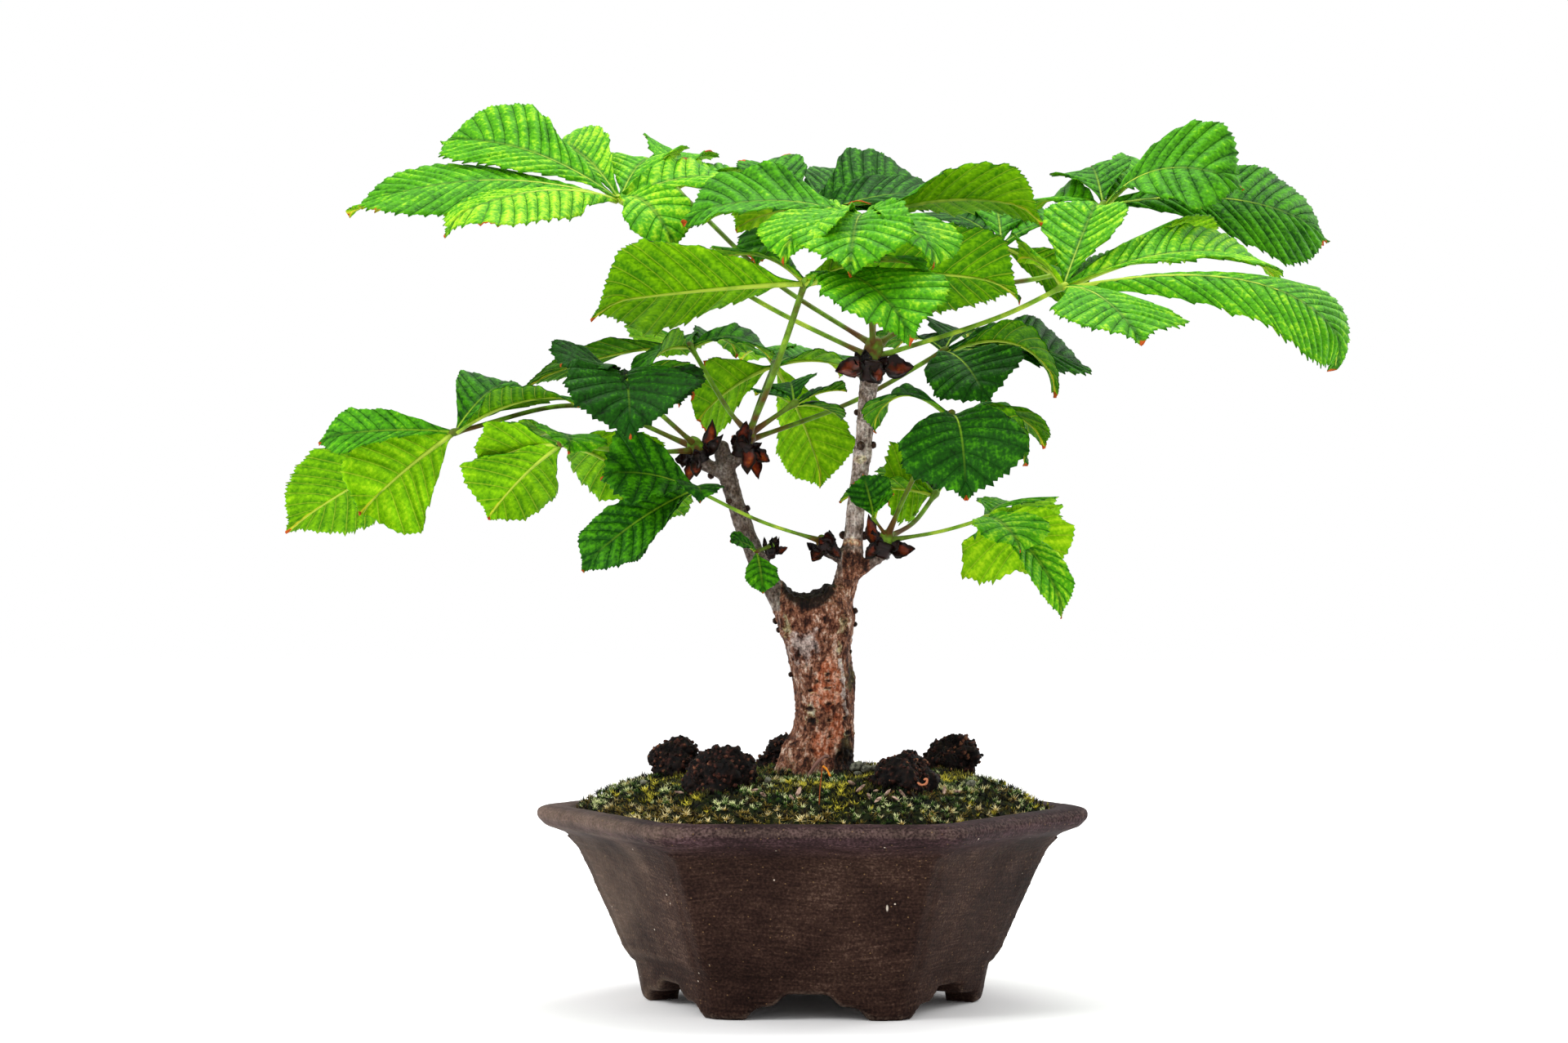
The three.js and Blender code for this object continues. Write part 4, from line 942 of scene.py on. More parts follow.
class CrumbleCakes(bpy.types.Operator):
    """Roughens the five fertiliser cakes into crumbs"""

    bl_idname = "bonsai.cakes"
    bl_label = "Fertiliser cakes"

    def execute(self, context):
        looks = context.scene.bonsai_cake
        finish = cake_finish(looks.cake)
        chance = random.Random(5)
        crumbs = [crumb_template(tone, chance) for tone in CRUMB_TONES]
        for name in CAKES:
            bm = remeshed(name, CAKE_VOXEL, CAKE_ROUNDS, PLANTED)
            marks = bm.verts.layers.float_vector.new("crumb")
            # Each lump was broken off along a few nearly flat faces.
            chance = random.Random(name)
            middle = seen(CAKES[name])
            reach = max((v.co - middle).length for v in bm.verts)
            for _ in range(BROKEN_FACES):
                cut = Vector((chance.uniform(-1, 1), chance.uniform(-1, 1), chance.uniform(-0.3, 0.8)))
                cut.normalize()
                deep = max((v.co - middle).dot(cut) for v in bm.verts) - chance.uniform(0.14, 0.27) * reach
                for v in bm.verts:
                    over = (v.co - middle).dot(cut) - deep
                    if over > 0:
                        v.co -= cut * over
            bm.normal_update()
            moves = []
            for v in bm.verts:
                lump = noise.noise(v.co * 0.16)
                cell = 0.4 - noise.voronoi(v.co * 0.42)[0][0]
                grain = 0.42 - noise.voronoi(v.co * 0.95 + Vector((5, 1, 2)))[0][0]
                moves.append(1.6 + 3 * lump + 2.4 * cell + 1.3 * grain)
                # Its tone follows the relief: paler on the bumps and darker in the creases, as painted
                # highlight and shade.
                v[marks] = (0.5 * cell + 0.4 * grain, 0, 0)
            for v, out in zip(bm.verts, moves):
                v.co += v.normal * out
            # Loose crumbs on the lump, each sunk by half.
            chance = random.Random(name)
            spots = [v.co.copy() for v in chance.choices(bm.verts[:], k=looks.crumbs)]
            scatter(bm, crumbs, [
                Matrix.Translation(spot) @ Matrix.Rotation(chance.uniform(0, 6.28), 4, spot)
                @ Matrix.Scale(chance.uniform(0.4, 1.1), 4) for spot in spots], chance)
            piece(name + "_crumbled", bm, [finish], [name], PLANTED)
        for crumb in crumbs:
            bpy.data.meshes.remove(crumb)
        return {"FINISHED"}


# What lies on the moss.

# A thread of moss fruit with its capsule, a dry root arch, a curled seed stalk: their line, their radius
# and their colour.
THREADS = {
    "moss_fruit_stalk": (
        [(3.3, -81, 87), (3.6, -81, 94), (4.2, -80, 100), (4.9, -80, 105.8)], 0.26, "#8a4216"),
    "moss_fruit_capsule": ([(4.9, -80, 105.8), (6.5, -80, 104.6), (8.5, -80, 101)], 0.5, "#d0801e"),
    "dry_root_arch": (
        [(-2.5, -33, 99), (-0.2, -34, 103.5), (2.6, -34, 107.4), (5.6, -32, 110), (7.5, -26, 110)],
        0.85, "#7a564c"),
    "curled_seed_stalk": (
        [(47.8, -69.8, 98.4), (49.6, -71.8, 97.2), (51.8, -72.3, 97.8), (52.2, -71.8, 99.8),
         (50.6, -71.3, 99.6)], 0.55, "#b87250"),
}
THREAD_STEPS, THREAD_SIDES = 16, 10
# Where small stones and husk slivers lie: place and radius.
PEBBLES = (
    (20.5, -22, 105.7, 2.6), (24.5, -24, 104.7, 2.1), (28, -20, 104.9, 1.7), (21, -30, 102.2, 1.5),
    (-20, -60, 99.4, 1.6), (72, -30, 97.9, 1.8), (-76, -24, 98.4, 1.4))
SLIVERS = (
    (22, -74, 95.6, 1.5), (26, -81, 91.9, 1.3), (29, -76, 94.6, 1.2), (30, -84, 90.6, 1.5),
    (34, -77, 93.6, 1.4), (38, -82, 91.2, 1.2), (41, -76, 93.4, 1.3), (18, -68, 98.1, 1.6),
    (60, -60, 94.7, 1.3), (66, -52, 94.3, 1.2), (-22, -80, 92.8, 1.5), (-60, -62, 93.9, 1.2),
    (-6, -78, 94.1, 1.6), (-9, -83, 91.5, 1.2), (-26, -74, 95, 1.2))
# Each heap: its rows, its stretch along x, y and z, how far it tilts, its dark and its light colour.
HEAPS = {
    "pebbles": (PEBBLES, (1.25, 0.85, 0.8), 0.4, "#34342c", "#7c7c6c"),
    "husk_slivers": (SLIVERS, (1.65, 0.62, 0.45), 1, "#4e342c", "#c4a592"),
}


def litter_finish(name, dark, light):
    """Dry plant litter or stone, paler in specks."""
    return mottled_finish(name + "_dry", 700.0, 3.0, [(0.35, dark), (0.65, light)], 0.7, 0.2)


class DropLitter(bpy.types.Operator):
    """Lays the small stones, husks, the dry root and the moss fruit on the moss"""

    bl_idname = "bonsai.litter"
    bl_label = "Litter"

    def execute(self, context):
        for name, (line, radius, colour) in THREADS.items():
            bm = bmesh.new()
            centres = spline([seen(p) for p in line], THREAD_STEPS)
            radii = [
                radius * (0.35 if i in (0, THREAD_STEPS) else 0.9 + 0.1 * math.sin(i))
                for i in range(THREAD_STEPS + 1)]
            tube(bm, centres, radii, THREAD_SIDES)
            piece(name, bm, [litter_finish(name, colour, colour)], (), PLANTED)
        for name, (rows, form, tilt, dark, light) in HEAPS.items():
            bm = bmesh.new()
            chance = random.Random(name)
            for x, y, z, radius in rows:
                made = bmesh.ops.create_icosphere(bm, subdivisions=3, radius=1)["verts"]
                turn = Matrix.Rotation(chance.uniform(0, 6.28), 3, "Z") @ Matrix.Rotation(
                    chance.uniform(-tilt, tilt), 3, "Y")
                seed = Vector((x, y, z))
                for v in made:
                    lump = 1 + 0.28 * noise.noise(v.co * 1.3 + seed) + 0.1 * noise.noise(v.co * 4 + seed)
                    flat = Vector([a * b for a, b in zip(v.co, form)])
                    v.co = seen((x, y, z)) + turn @ flat * (radius * lump)
                smoothed(faces_at(made))
            piece(name, bm, [litter_finish(name, dark, light)], (), PLANTED)
        return {"FINISHED"}


# The trunk and branches: the marks of the bark as (x, z, half width, half height).

EYE_SCARS = ((-0.7, 132.2, 2.4, 1.5), (-0.1, 126.9, 2.6, 1.9))
LENTICELS = (
    (-0.7, 140.5, 1.8, 0.8), (6.8, 148, 1.7, 0.9), (6.8, 144.8, 1.9, 0.9), (6.8, 141.8, 1.7, 0.8),
    (7.7, 134.6, 1.6, 0.9), (7.7, 127.3, 1.6, 0.8), (15, 128.4, 1.6, 0.9), (7.8, 119.9, 1.7, 0.8),
    (15.9, 121.5, 1.8, 1.0), (-2.5, 152, 1.0, 0.6), (2, 145, 0.9, 0.6), (-4.6, 139, 1.1, 0.6))
CRACKS = ((1.5, 159.5, 0.6, 3.4), (-0.5, 149, 0.6, 2.8), (5.5, 163, 0.4, 2.2), (-6, 158, 0.5, 3))
ROT_HOLLOW = (15, 107.5, 5.6, 9)
SADDLE = (-1.5, 191, 14, 14.8)
ORANGE_BARK = ((7.4, 143, 6.5, 15), (2.6, 139, 4, 7), (4, 116, 6, 8), (11, 124, 4, 9))
CRUSTS = ((13.3, 170.6, 3.6, 8), (-11, 169.5, 3, 7), (12, 160, 1.6, 5))
OLIVE_BARK = ((17, 146, 3.4, 10), (15, 115, 6, 12), (-8, 98, 12, 5))
RIDGE = ((12.6, 155), (14.8, 128.4))
LEAF_SCARS = ((22, 244.6, 3.3, 2.3),)
FLAKED_BARK = (-3.5, 161, 10, 12)
# Old scars ring the branches at these places (x, z).
TWIG_RINGS = (
    (18, 196), (18, 199), (24, 262), (25.5, 274.5), (26.3, 277.5), (27, 281), (-33, 219.5), (-38, 235),
    (27, 197.5), (29, 200))
# The small dark buds that never opened: place and radius.
DARK_BUDS = (
    ((13.8, -2, 210.5), 1.7), ((24.2, -2, 210), 1.8), ((20.3, -3.5, 265.8), 1.3), ((28.2, -3, 251.2), 1.5),
    ((22.2, -6.6, 250.6), 1.9), ((-37.6, 0, 226), 1.4), ((-30.4, 2, 222), 1.3), ((-45.5, 3, 238), 1.5),
    ((-10.4, -2, 146.6), 1.1), ((17.4, -1, 157.7), 0.9), ((-15.6, 0, 172), 1.4), ((-14.8, -1, 167.5), 1.2),
    ((18.2, -1, 176), 1.3), ((17.8, -1, 170.5), 1.1))


class BarkLooks(bpy.types.PropertyGroup):
    old: tint("Old bark", "#9c664c", "Usual colour of the trunk")
    young: tint("Young bark", "#93837a", "Usual colour of the branches")
    peeled: tint("Peeled bark", "#b6623e", "Where the trunk's bark has peeled")
    voxel: FloatProperty(
        name="Fineness", description="Edge of the smallest bark facets", default=0.00067, unit="LENGTH")


def bark_finish(looks):
    """Young chestnut bark: reddish brown in vertical streaks, flaking grey-lilac, orange where it peeled."""
    made, tree, spot = finish_named("bark_chestnut")
    orange, pale, dark = marks_on(tree, "bark")
    young, olive, flake = marks_on(tree, "age")
    drawn = add(tree, "Mapping", {"Vector": spot, "Scale": (560.0, 560.0, 230.0)})
    streak = add(tree, "TexNoise", {"Vector": drawn, "Scale": 1.0, "Detail": 6.0, "Roughness": 0.65})
    patch = add(tree, "TexNoise", {"Vector": spot, "Scale": 190.0, "Detail": 6.0, "Roughness": 0.65})
    grain = add(tree, "TexNoise", {"Vector": spot, "Scale": 900.0, "Detail": 3.0})
    both = add(tree, "Math", {0: streak, 1: patch}, operation="ADD")
    tone = add(tree, "MapRange", {0: both, 1: 0.72, 2: 1.3})
    old_bark = add(tree, "ValToRGB", {"Fac": tone}, stops=[
        (0.0, "#0e0603"), (0.3, "#4a2519"), (0.58, looks.old), (0.88, "#ecd0bc")])
    young_bark = add(tree, "ValToRGB", {"Fac": tone}, stops=[
        (0.0, "#3c2d26"), (0.3, "#705c50"), (0.62, looks.young), (0.95, "#c8bcb4")])
    skin = add(tree, "Mix", {0: young, 6: old_bark, 7: young_bark}, out=2, data_type="RGBA")
    # Each finish over the bark is broken up by the patches: where its mark is weak, little of it shows.
    ragged = add(tree, "MapRange", {0: patch, 1: 0.25, 2: 0.75, 3: -0.5, 4: 0.5})
    for amount, low, middling, light in (
        (olive, "#0e1005", "#2b2d10", "#5c5a26"),
        (orange, "#5a2416", looks.peeled, "#eebca2"),
        (flake, "#5e4b45", "#b19c94", "#eaddd6"),
        (pale, "#5a5030", "#bfae7c", "#f0e8c8"),
    ):
        broken = add(tree, "Math", {0: amount, 1: ragged}, operation="ADD")
        much = add(tree, "MapRange", {0: broken, 1: 0.4, 2: 0.72, 3: 0.0, 4: 0.85})
        layer = add(tree, "ValToRGB", {"Fac": tone}, stops=[(0.1, low), (0.45, middling), (0.9, light)])
        skin = add(tree, "Mix", {0: much, 6: skin, 7: layer}, out=2, data_type="RGBA")
    speck = add(tree, "ValToRGB", {"Fac": grain}, stops=[(0.3, "#8a8a8a"), (0.6, "#ffffff")])
    skin = add(tree, "Mix", {0: 1.0, 6: skin, 7: speck}, out=2, data_type="RGBA", blend_type="MULTIPLY")
    skin = add(tree, "Mix", {0: dark, 6: skin, 7: linear("#0c0705")}, out=2, data_type="RGBA")
    height = add(tree, "Math", {0: both, 1: grain}, operation="ADD")
    skin_with(tree, skin, 0.6, 0.12, height, 0.8)
    return made


# Left of the first place the wood is the left branch, right of the second the right branch, from these
# heights up; between them old bark turns young over a few millimetres.
LEFT_BRANCH, LEFT_YOUNG_FROM, LEFT_SHADE_FROM = -14, 176, 180
RIGHT_BRANCH, RIGHT_PALE_FROM = 10, 209
YOUNG_FROM, YOUNG_OVER = 187, 12
# The front of the trunk, which carries the marks, is what lies nearer than this depth.
FRONT_DEPTH = 3
LENTICEL_ROWS, LENTICEL_RARITY = 6.5, 0.62
BARK_SEED = 4
BARK_ROUNDS = 14


def bark_at(place):
    """How far the bark stands out here, and its two sets of marks."""
    front = 1 if place.y < FRONT_DEPTH else 0
    # Marks are looked up at a place pushed about by up to 1.5 mm, so that none is a neat oval.
    near = place + noise.noise_vector(place * 0.45) * 1.3 + noise.noise_vector(place * 1.5) * 0.5
    tall = Vector((place.x * 0.4, place.y * 0.4, place.z * 0.11))
    out = 0.6 * noise.noise(tall) + 0.4 * noise.noise(place * 0.7) + 0.2 * noise.noise(place * 1.6)
    twig = held((place.z - YOUNG_FROM) / YOUNG_OVER)
    if place.x < LEFT_BRANCH and place.z > LEFT_YOUNG_FROM:
        twig = 1
    out *= 1 - 0.6 * twig
    pale, dark = 0.0, 0.0
    orange = 0.55 * max(0, noise.noise(place * 0.12 + Vector((3, 7, 1))))
    for spot in ORANGE_BARK:
        orange = max(orange, min(1, 1.5 * lens(near, spot)) * (0.95 if front else 0.4))
    for spot in CRUSTS:
        here = lens(near, spot) * front
        pale = max(pale, 0.75 * here)
        out += 1.7 * min(1, 2 * here) * max(0, noise.noise(place * 0.55) + 0.3)
    olive = 0.9 * max(0, 1 - (place.z - 94) / 20)
    for spot in OLIVE_BARK:
        olive = max(olive, 0.8 * lens(near, spot))
    flake = 0.75 * lens(near, FLAKED_BARK) * front + 0.45 * max(0, noise.noise(place * 0.25))
    for spot in (*EYE_SCARS, *LENTICELS):
        x, z, wide, high = spot
        if abs(x - place.x) > 6 or abs(z - place.z) > 6 or not front:
            continue
        mild = place.lerp(near, 0.45)
        around = lens(mild, (x, z, wide * 1.5, high * 1.9))
        inside = lens(mild, spot)
        out += 0.6 * around - 1.3 * inside
        pale = max(pale, 0.62 * min(1, 1.6 * around) * (1 - min(1, 2 * inside)))
        dark = max(dark, min(0.95, 1.5 * inside))
    for spot in CRACKS:
        inside = lens(place, spot) * front
        out -= 0.9 * inside
        dark = max(dark, min(0.9, 1.2 * inside))
    inside = lens(near, ROT_HOLLOW) * front
    out -= 2.2 * inside * (0.6 + 0.8 * noise.noise(place * 0.5))
    dark = max(dark, min(1, 3 * inside) * min(1, 0.85 + 0.6 * noise.noise(place * 0.7)))
    # The foot is darkened to black, painted shade, higher on the right than over the smooth left root.
    shade_top = 103.5 + 0.28 * max(0, place.x + 4) + 3 * noise.noise(place * 0.25)
    dark = max(dark, min(0.92, max(0, (shade_top - place.z) / 3)))
    # A ridge runs down the front, raised and painted pale along its crest as a painted highlight.
    (x0, z0), (x1, z1) = RIDGE
    if z1 < place.z < z0 and front:
        middle = x0 + (x1 - x0) * (z0 - place.z) / (z0 - z1)
        by = max(0, 1 - abs(near.x - middle) / 1.1)
        out += 0.9 * by
        flake = max(flake, 1.3 * by)
    # The right branch is paler and greyer than the left one.
    if place.x > RIGHT_BRANCH and place.z > RIGHT_PALE_FROM:
        flake = max(flake, 0.62)
    # The left branch is darkened: painted shade.
    if place.x < LEFT_BRANCH and place.z > LEFT_SHADE_FROM:
        dark = max(dark, 0.32 + 0.2 * noise.noise(place * 0.3))
    if lens(place, SADDLE) > 0 and abs(place.x + 1.5) < 12:
        dark = max(dark, min(0.93, 4 * lens(near, SADDLE)))
    # The dark foot of the right branch, and the pale orange band above it.
    if 14 < place.x < 26 and 190 < place.z < 222:
        band = max(0, 1 - abs(near.z - 207) / 4)
        orange = max(orange, 0.8 * band)
        pale = max(pale, 0.55 * band)
        dark = max(dark, 0.8 * max(0, 1 - abs(near.z - 201.5) / 2.2))
        twig = held((place.z - 202) / 3)
    for ring in TWIG_RINGS:
        if abs(place.x - ring[0]) < 9:
            by = max(0, 1 - abs(near.z - ring[1]) / 0.9)
            out += 0.25 * by
            dark = max(dark, 0.55 * by)
    for spot in LEAF_SCARS:
        inside = min(1, 2 * lens(place.lerp(near, 0.3), spot)) * front
        orange = max(orange, 0.85 * inside)
        pale = max(pale, 0.5 * inside)
        out += 0.5 * inside
        for dot in (-1.3, 0, 1.3):
            trace = (spot[0] + dot, spot[1] - 0.3 + abs(dot) * 0.4, 0.5, 0.5)
            dark = max(dark, 0.8 * lens(place, trace) * front)
    # Rings of small lenticels right round the stem, a few millimetres apart.
    row = math.floor(place.z / LENTICEL_ROWS)
    angle = math.atan2(place.y, place.x - 4) if place.z < 180 else math.atan2(place.y + 2, place.x - 20)
    cell = math.floor(angle * 3 + row * 1.7)
    if noise.cell(Vector((cell, row, 3.5))) > LENTICEL_RARITY:
        off_z = (place.z - (row + 0.5) * LENTICEL_ROWS) / 0.6
        off_a = (angle * 3 + row * 1.7 - cell - 0.5) / 0.22
        bump = max(0, 1 - off_z**2 - off_a**2)
        out += 0.3 * bump
        pale = max(pale, 0.55 * bump)
    return out, (orange, min(pale, 1), held(dark)), (twig, olive, flake)


def above_ring(place, shoot):
    """Whether a place is on a shoot's soft growth, above its bud scales."""
    foot, direction, length, radius = shoot
    up = Vector(direction).normalized()
    off = place - Vector(foot)
    high = off.dot(up)
    return RING_TOP - 1 < high < length + 6 and (off - up * high).length < radius + 2.5


class BarkTrunk(bpy.types.Operator):
    """Gives the trunk and the branches their bark, scars and buds"""

    bl_idname = "bonsai.trunk"
    bl_label = "Trunk and branches"

    def execute(self, context):
        looks = context.scene.bonsai_bark
        # Without a seed noise_vector starts from the clock, and each run has to give the same bark.
        noise.seed_set(BARK_SEED)
        bm = remeshed("trunk", looks.voxel / MM, BARK_ROUNDS, PLANTED)
        marks = bm.verts.layers.float_vector.new("bark")
        ages = bm.verts.layers.float_vector.new("age")
        moves = []
        for v in bm.verts:
            out, v[marks], v[ages] = bark_at(v.co)
            moves.append(v.normal * (out + 0.35))
        for v, move in zip(bm.verts, moves):
            v.co += move
        # The soft growth above each ring of scales is still green.
        tones = bm.verts.layers.float_vector.new("tone")
        for f in bm.faces:
            if any(above_ring(f.calc_center_median(), shoot) for shoot in SHOOTS.values()):
                f.material_index = 1
                for v in f.verts:
                    v[tones] = (0.5, 0.16 + 0.2 * noise.noise(v.co * 0.5), 0)
        skin = BVHTree.FromBMesh(bm)
        for place, radius in DARK_BUDS:
            at, normal, _, _ = skin.find_nearest(Vector(place))
            made = bmesh.ops.create_icosphere(bm, subdivisions=3, radius=radius)["verts"]
            for v in made:
                v.co.z *= 1.1
                v.co += at + normal * (0.3 * radius) + v.co.normalized() * (0.25 * noise.noise(v.co * 2))
                v[marks] = (0.1, 0, 0.86)
            smoothed(faces_at(made))
        finishes = (bark_finish(looks), stalk_finish(context.scene.bonsai_leaf.stalk))
        piece("trunk_barked", bm, finishes, ["trunk"], PLANTED)
        return {"FINISHED"}


# The bud scales: the shoot of each ring, and its long scales' tips and widths.

BUD_SCALES = {
    "scales_a": ("a", [(10.5, -8, 284.5, 11), (46, -6, 286.5, 11), (30, -15, 279, 7), (20, 12, 284, 9)]),
    "scales_b_left": ("bLeft", [
        (-62, 0, 245, 7), (-56, -8, 234, 6), (-52, -11, 237, 6), (-40, -7, 256, 6), (-45, -5, 263, 7)]),
    "scales_b_right": ("bRight", [
        (-19, -5, 244, 7), (-29, -10, 238, 7), (-36, 12, 256, 6), (-29.5, -6, 262, 7), (-24, -4, 236, 6)]),
    "scales_c": ("c", [(25.5, -6, 220, 7), (46.5, -8, 204.5, 8), (35, 11, 211, 7), (24, -8, 200, 6)]),
    "scales_d": ("d", [(7, -11, 212, 7), (0, -12, 199, 6), (13, -10, 200, 6), (2, 5, 208, 6)]),
    "scales_e": ("e", [(-16, 5, 210, 5), (-11, -3, 205, 4)]),
}
# How far the dark cup under the scales reaches down the twig, where it isn't 2 mm.
CUP_DEPTHS = {"scales_a": 7, "scales_b_right": 4, "scales_c": 4}
SCALE_OUTLINE = ((0, 0.5), (0.15, 0.86), (0.33, 1), (0.55, 0.86), (0.75, 0.55), (0.9, 0.24), (1, 0.02))
SCALE_THICKNESS = 0.45
SHORT_SCALES = 5
# The cup's rings: as shares of its depth below the scales, in millimetres above, and how wide each is.
CUP_RINGS_BELOW = (1, 0.7, 0.45, 0.2)
CUP_RINGS_ABOVE = (0.5, 1.1, 1.6, 2.2, 2.7, 3.2, 3.6)
CUP_SHARES = (0.95, 1.16, 1.08, 1.2, 1.3, 1.24, 1.36, 1.28, 1.32, 1.15, 0.8)
CUP_SIDES = 24


class BudLooks(bpy.types.PropertyGroup):
    body: tint("Scale", "#220905", "Usual colour of the resinous scales")
    glow: tint("Glow", "#d06c22", "Where light shines through a scale")


def scale_finish(looks):
    """A sticky bud scale: dark red-brown, glowing orange-brown where it is thin, dried at the rim."""
    made, tree, spot = finish_named("bud_scale_resinous")
    thin, _, _ = marks_on(tree, "scale")
    patch = add(tree, "TexNoise", {"Vector": spot, "Scale": 240.0, "Detail": 5.0})
    total = add(tree, "Math", {0: patch, 1: thin}, operation="ADD")
    tone = add(tree, "MapRange", {0: total, 1: 0.35, 2: 1.2})
    colour = add(tree, "ValToRGB", {"Fac": tone}, stops=[
        (0.0, "#080202"), (0.42, looks.body), (0.7, "#74280d"), (0.98, looks.glow)])
    skin_with(tree, colour, 0.42, 0.2, patch, 0.4, 0.0006)
    return made


def scale_blade(bm, marks, root, tip, width, up, glow, chance):
    """One cupped bud scale from root to tip, hollow towards up and outwards."""
    chord = tip - root
    up = up * 0.45 + Vector((0, -1 if tip.y < 4 else 1, 0)) * 0.8
    lift = (up - chord * (up.dot(chord) / chord.length_squared)).normalized()
    across = chord.cross(lift).normalized()
    curl = chance.uniform(0.1, 0.22)
    twist = chance.uniform(-0.5, 0.5)
    made = bmesh.ops.create_grid(bm, x_segments=10, y_segments=14, size=1)["verts"]
    for v in made:
        side, s = v.co.x, (v.co.y + 1) / 2
        reach = width / 2 * share_at(SCALE_OUTLINE, s)
        sink = -chord.length * curl * 4 * s * (1 - s)
        cup = 0.5 * reach * side * side
        turn = twist * s
        ragged = 1 + 0.3 * noise.noise(Vector((side * 1.5 + width, s * 7, glow * 9))) * abs(side)
        lateral = side * reach * ragged
        height = sink + cup + 0.6 * noise.noise(Vector((side * 2, s * 4, width)))
        aside = across * (lateral * math.cos(turn))
        v.co = root + chord * s + aside + lift * (height + lateral * math.sin(turn))
        v[marks] = (glow - 0.1 + 0.5 * s * (1 - s) * 2 - 0.45 * abs(side) ** 3, 0, 0)
    faces = faces_at(made)
    smoothed(faces)
    thickened(bm, faces, SCALE_THICKNESS)


class OpenBuds(bpy.types.Operator):
    """Makes the brown scales of the opened buds"""

    bl_idname = "bonsai.buds"
    bl_label = "Bud scales"

    def execute(self, context):
        finish = scale_finish(context.scene.bonsai_buds)
        for name, (shoot, tips) in BUD_SCALES.items():
            at, direction, _, radius = SHOOTS[shoot]
            up = Vector(direction).normalized()
            foot = Vector(at)
            chance = random.Random(name)
            bm = bmesh.new()
            marks = bm.verts.layers.float_vector.new("scale")
            # The dark, ringed cup that the scales stand on.
            deep = CUP_DEPTHS.get(name, 2)
            heights = (*(-share * deep for share in CUP_RINGS_BELOW), *CUP_RINGS_ABOVE)
            tube(bm, [foot + up * h for h in heights], [radius * s for s in CUP_SHARES], CUP_SIDES)
            spread = [(Vector(tip), width, chance.uniform(0.0, 0.32)) for *tip, width in tips]
            across = up.cross(Vector((0, 1, 0))).normalized()
            for k in range(SHORT_SCALES):
                angle = k * 1.257 + chance.uniform(-0.3, 0.3)
                out = Matrix.Rotation(angle, 3, up) @ across
                tip = foot + out * (radius * chance.uniform(1.3, 2.0)) + up * chance.uniform(4.5, 8)
                spread.append((tip, radius * chance.uniform(0.9, 1.3), chance.uniform(-0.25, 0.1)))
            for tip, width, glow in spread:
                out = tip - foot
                out -= up * out.dot(up)
                root = foot + up * 1.2 + out.normalized() * (radius * 1.1)
                scale_blade(bm, marks, root, tip, width, up, glow, chance)
            piece(name + "_dried", bm, [finish], [name], PLANTED)
        return {"FINISHED"}


# The stage.

LIGHTS_AIM = Vector((0, 0, 0.22))
SENSOR_WIDTH = 36
FRAMING_SHIFT = 0.005
FARTHEST_SEEN = 20


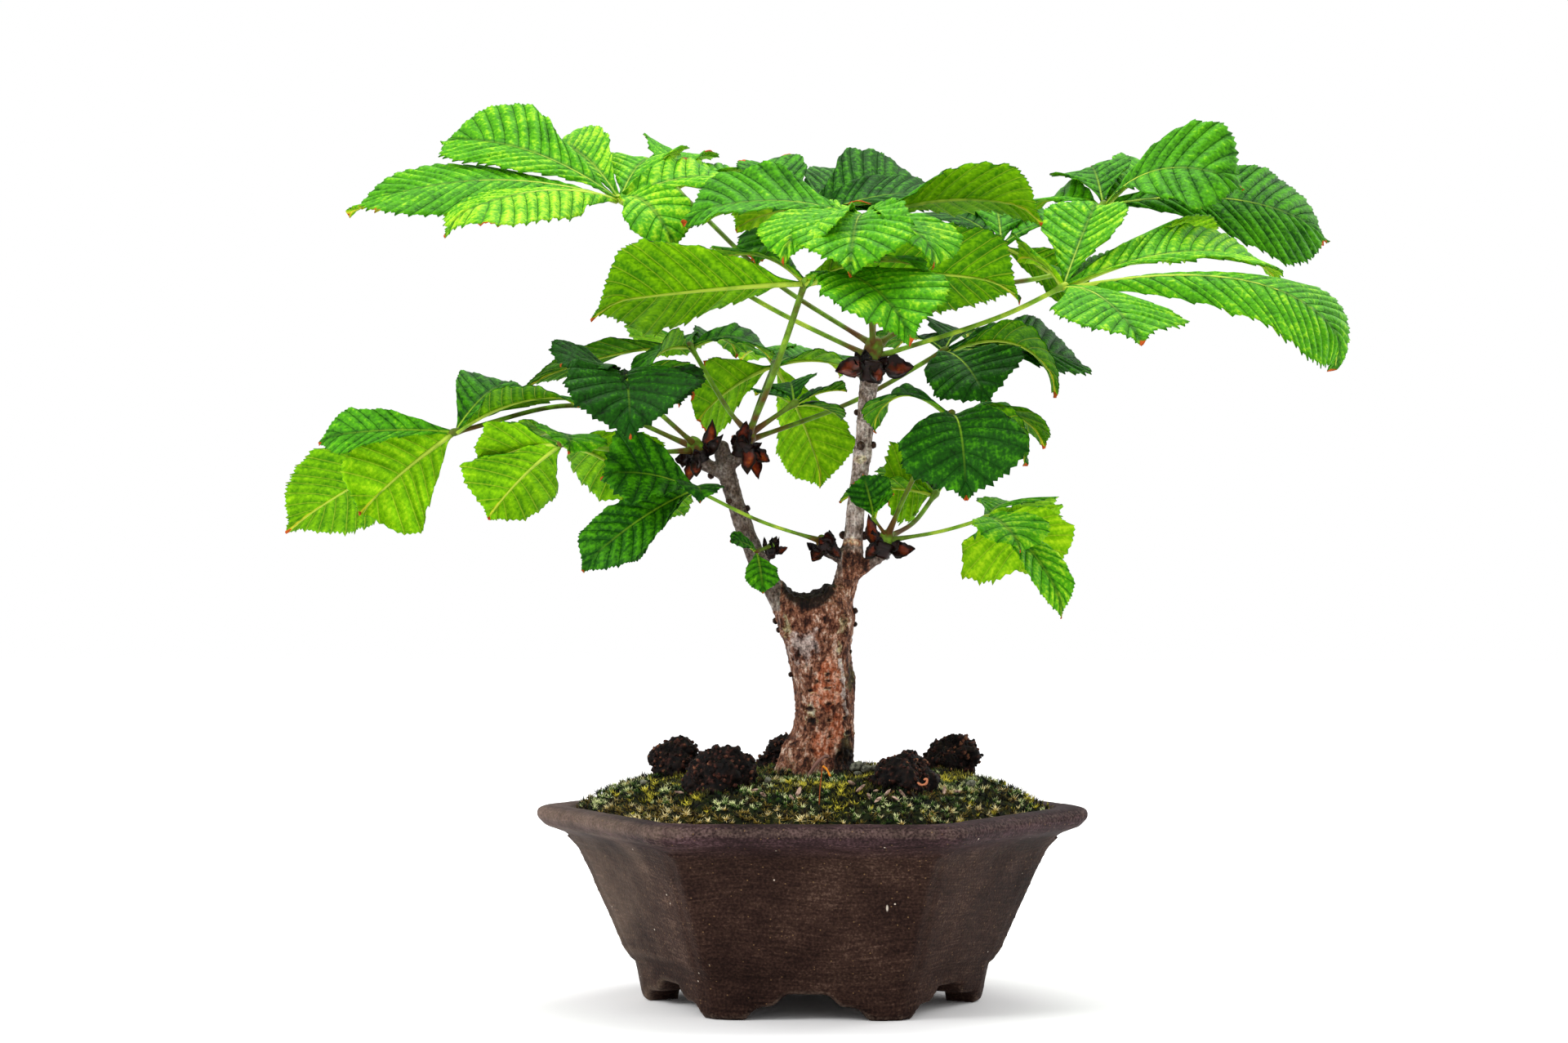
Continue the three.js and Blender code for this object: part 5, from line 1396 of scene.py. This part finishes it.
class SetStage(bpy.types.Operator):
    """Sets the pale floor, the soft lights and the camera"""

    bl_idname = "bonsai.stage"
    bl_label = "Stage"

    def execute(self, context):
        sizes = context.scene.bonsai_stage
        scene = context.scene
        bm = bmesh.new()
        bmesh.ops.create_grid(bm, x_segments=2, y_segments=2, size=sizes.floor_size / 2)
        floor = set_down("floor", mesh_of(bm, "floor"))
        paper = bpy.data.materials.new("paper_sweep_white")
        paper.use_nodes = True
        shader = paper.node_tree.nodes["Principled BSDF"]
        shader.inputs["Base Color"].default_value = linear(sizes.paper)
        shader.inputs["Specular IOR Level"].default_value = 0.0
        shader.inputs["Roughness"].default_value = 0.9
        floor.data.materials.append(paper)

        world = bpy.data.worlds.new("studio")
        world.use_nodes = True
        scene.world = world
        world.node_tree.nodes["Background"].inputs["Color"].default_value = (1, 1, 1, 1)
        world.node_tree.nodes["Background"].inputs["Strength"].default_value = sizes.dome
        for name, place, size, power in (
            ("key", (-1.35, -0.95, 1.25), 0.8, sizes.key),
            ("top", (0.15, 0.25, 1.7), 1.2, sizes.top),
            ("rim", (1.2, 0.8, 0.9), 0.9, sizes.rim),
        ):
            data = bpy.data.lights.new(name, "AREA")
            data.shape = "DISK"
            data.size = size
            data.energy = power
            lamp = set_down(name, data)
            lamp.location = place
            lamp.rotation_euler = (LIGHTS_AIM - Vector(place)).to_track_quat("-Z", "Y").to_euler()

        data = bpy.data.cameras.new("camera")
        data.lens = sizes.lens
        data.sensor_width = SENSOR_WIDTH
        data.shift_y = FRAMING_SHIFT
        data.clip_end = FARTHEST_SEEN
        camera = set_down("camera", data)
        right = Vector((math.cos(TREE_TURN), math.sin(TREE_TURN), 0))
        forward = Vector((-math.sin(TREE_TURN), math.cos(TREE_TURN), 0))
        camera.location = POT_AXIS + right * (EYE_X * MM) - forward * (EYE_DISTANCE * MM)
        camera.location.z = EYE_Z * MM
        camera.rotation_euler = forward.to_track_quat("-Z", "Y").to_euler()
        scene.camera = camera
        scene.view_settings.view_transform = "Standard"
        return {"FINISHED"}


class StageSizes(bpy.types.PropertyGroup):
    paper: tint("Paper", "#ffffff", "Colour of the floor")
    floor_size: FloatProperty(name="Floor", description="Side of the floor", default=8, unit="LENGTH")
    lens: FloatProperty(name="Lens", description="Focal length in millimetres", default=78.54)
    dome: FloatProperty(name="Dome", description="Strength of the white surroundings", default=1.0)
    key: FloatProperty(
        name="Key light", description="Power of the front left light", default=19, unit="POWER")
    top: FloatProperty(name="Top light", description="Power of the overhead light", default=20, unit="POWER")
    rim: FloatProperty(name="Rim light", description="Power of the back right light", default=6, unit="POWER")


class BonsaiPanel(bpy.types.Panel):
    """Lists the steps that build the bonsai"""

    bl_idname = "VIEW3D_PT_bonsai"
    bl_label = "Horse chestnut bonsai"
    bl_space_type = "VIEW_3D"
    bl_region_type = "UI"
    bl_category = "Bonsai"

    def draw(self, context):
        for step in STEPS:
            self.layout.operator(step.bl_idname)


STEPS = (SetStage, ThrowPot, LayMoss, CrumbleCakes, DropLitter, BarkTrunk, OpenBuds, GrowLeaves)
SETTINGS = {
    "bonsai_stage": StageSizes,
    "bonsai_pot": PotLooks,
    "bonsai_moss": MossLooks,
    "bonsai_cake": CakeLooks,
    "bonsai_bark": BarkLooks,
    "bonsai_buds": BudLooks,
    "bonsai_leaf": LeafLooks,
}


def register():
    for made in (*SETTINGS.values(), *STEPS, BonsaiPanel):
        bpy.utils.register_class(made)
    for name, group in SETTINGS.items():
        setattr(bpy.types.Scene, name, PointerProperty(type=group))


def unregister():
    for name in SETTINGS:
        delattr(bpy.types.Scene, name)
    for made in (BonsaiPanel, *reversed(STEPS), *SETTINGS.values()):
        bpy.utils.unregister_class(made)


def main():
    register()
    bpy.ops.bonsai.stage()
    bpy.ops.bonsai.pot()
    bpy.ops.bonsai.moss()
    bpy.ops.bonsai.cakes()
    bpy.ops.bonsai.litter()
    bpy.ops.bonsai.trunk()
    bpy.ops.bonsai.buds()
    bpy.ops.bonsai.leaves()


if __name__ == "__main__":
    main()
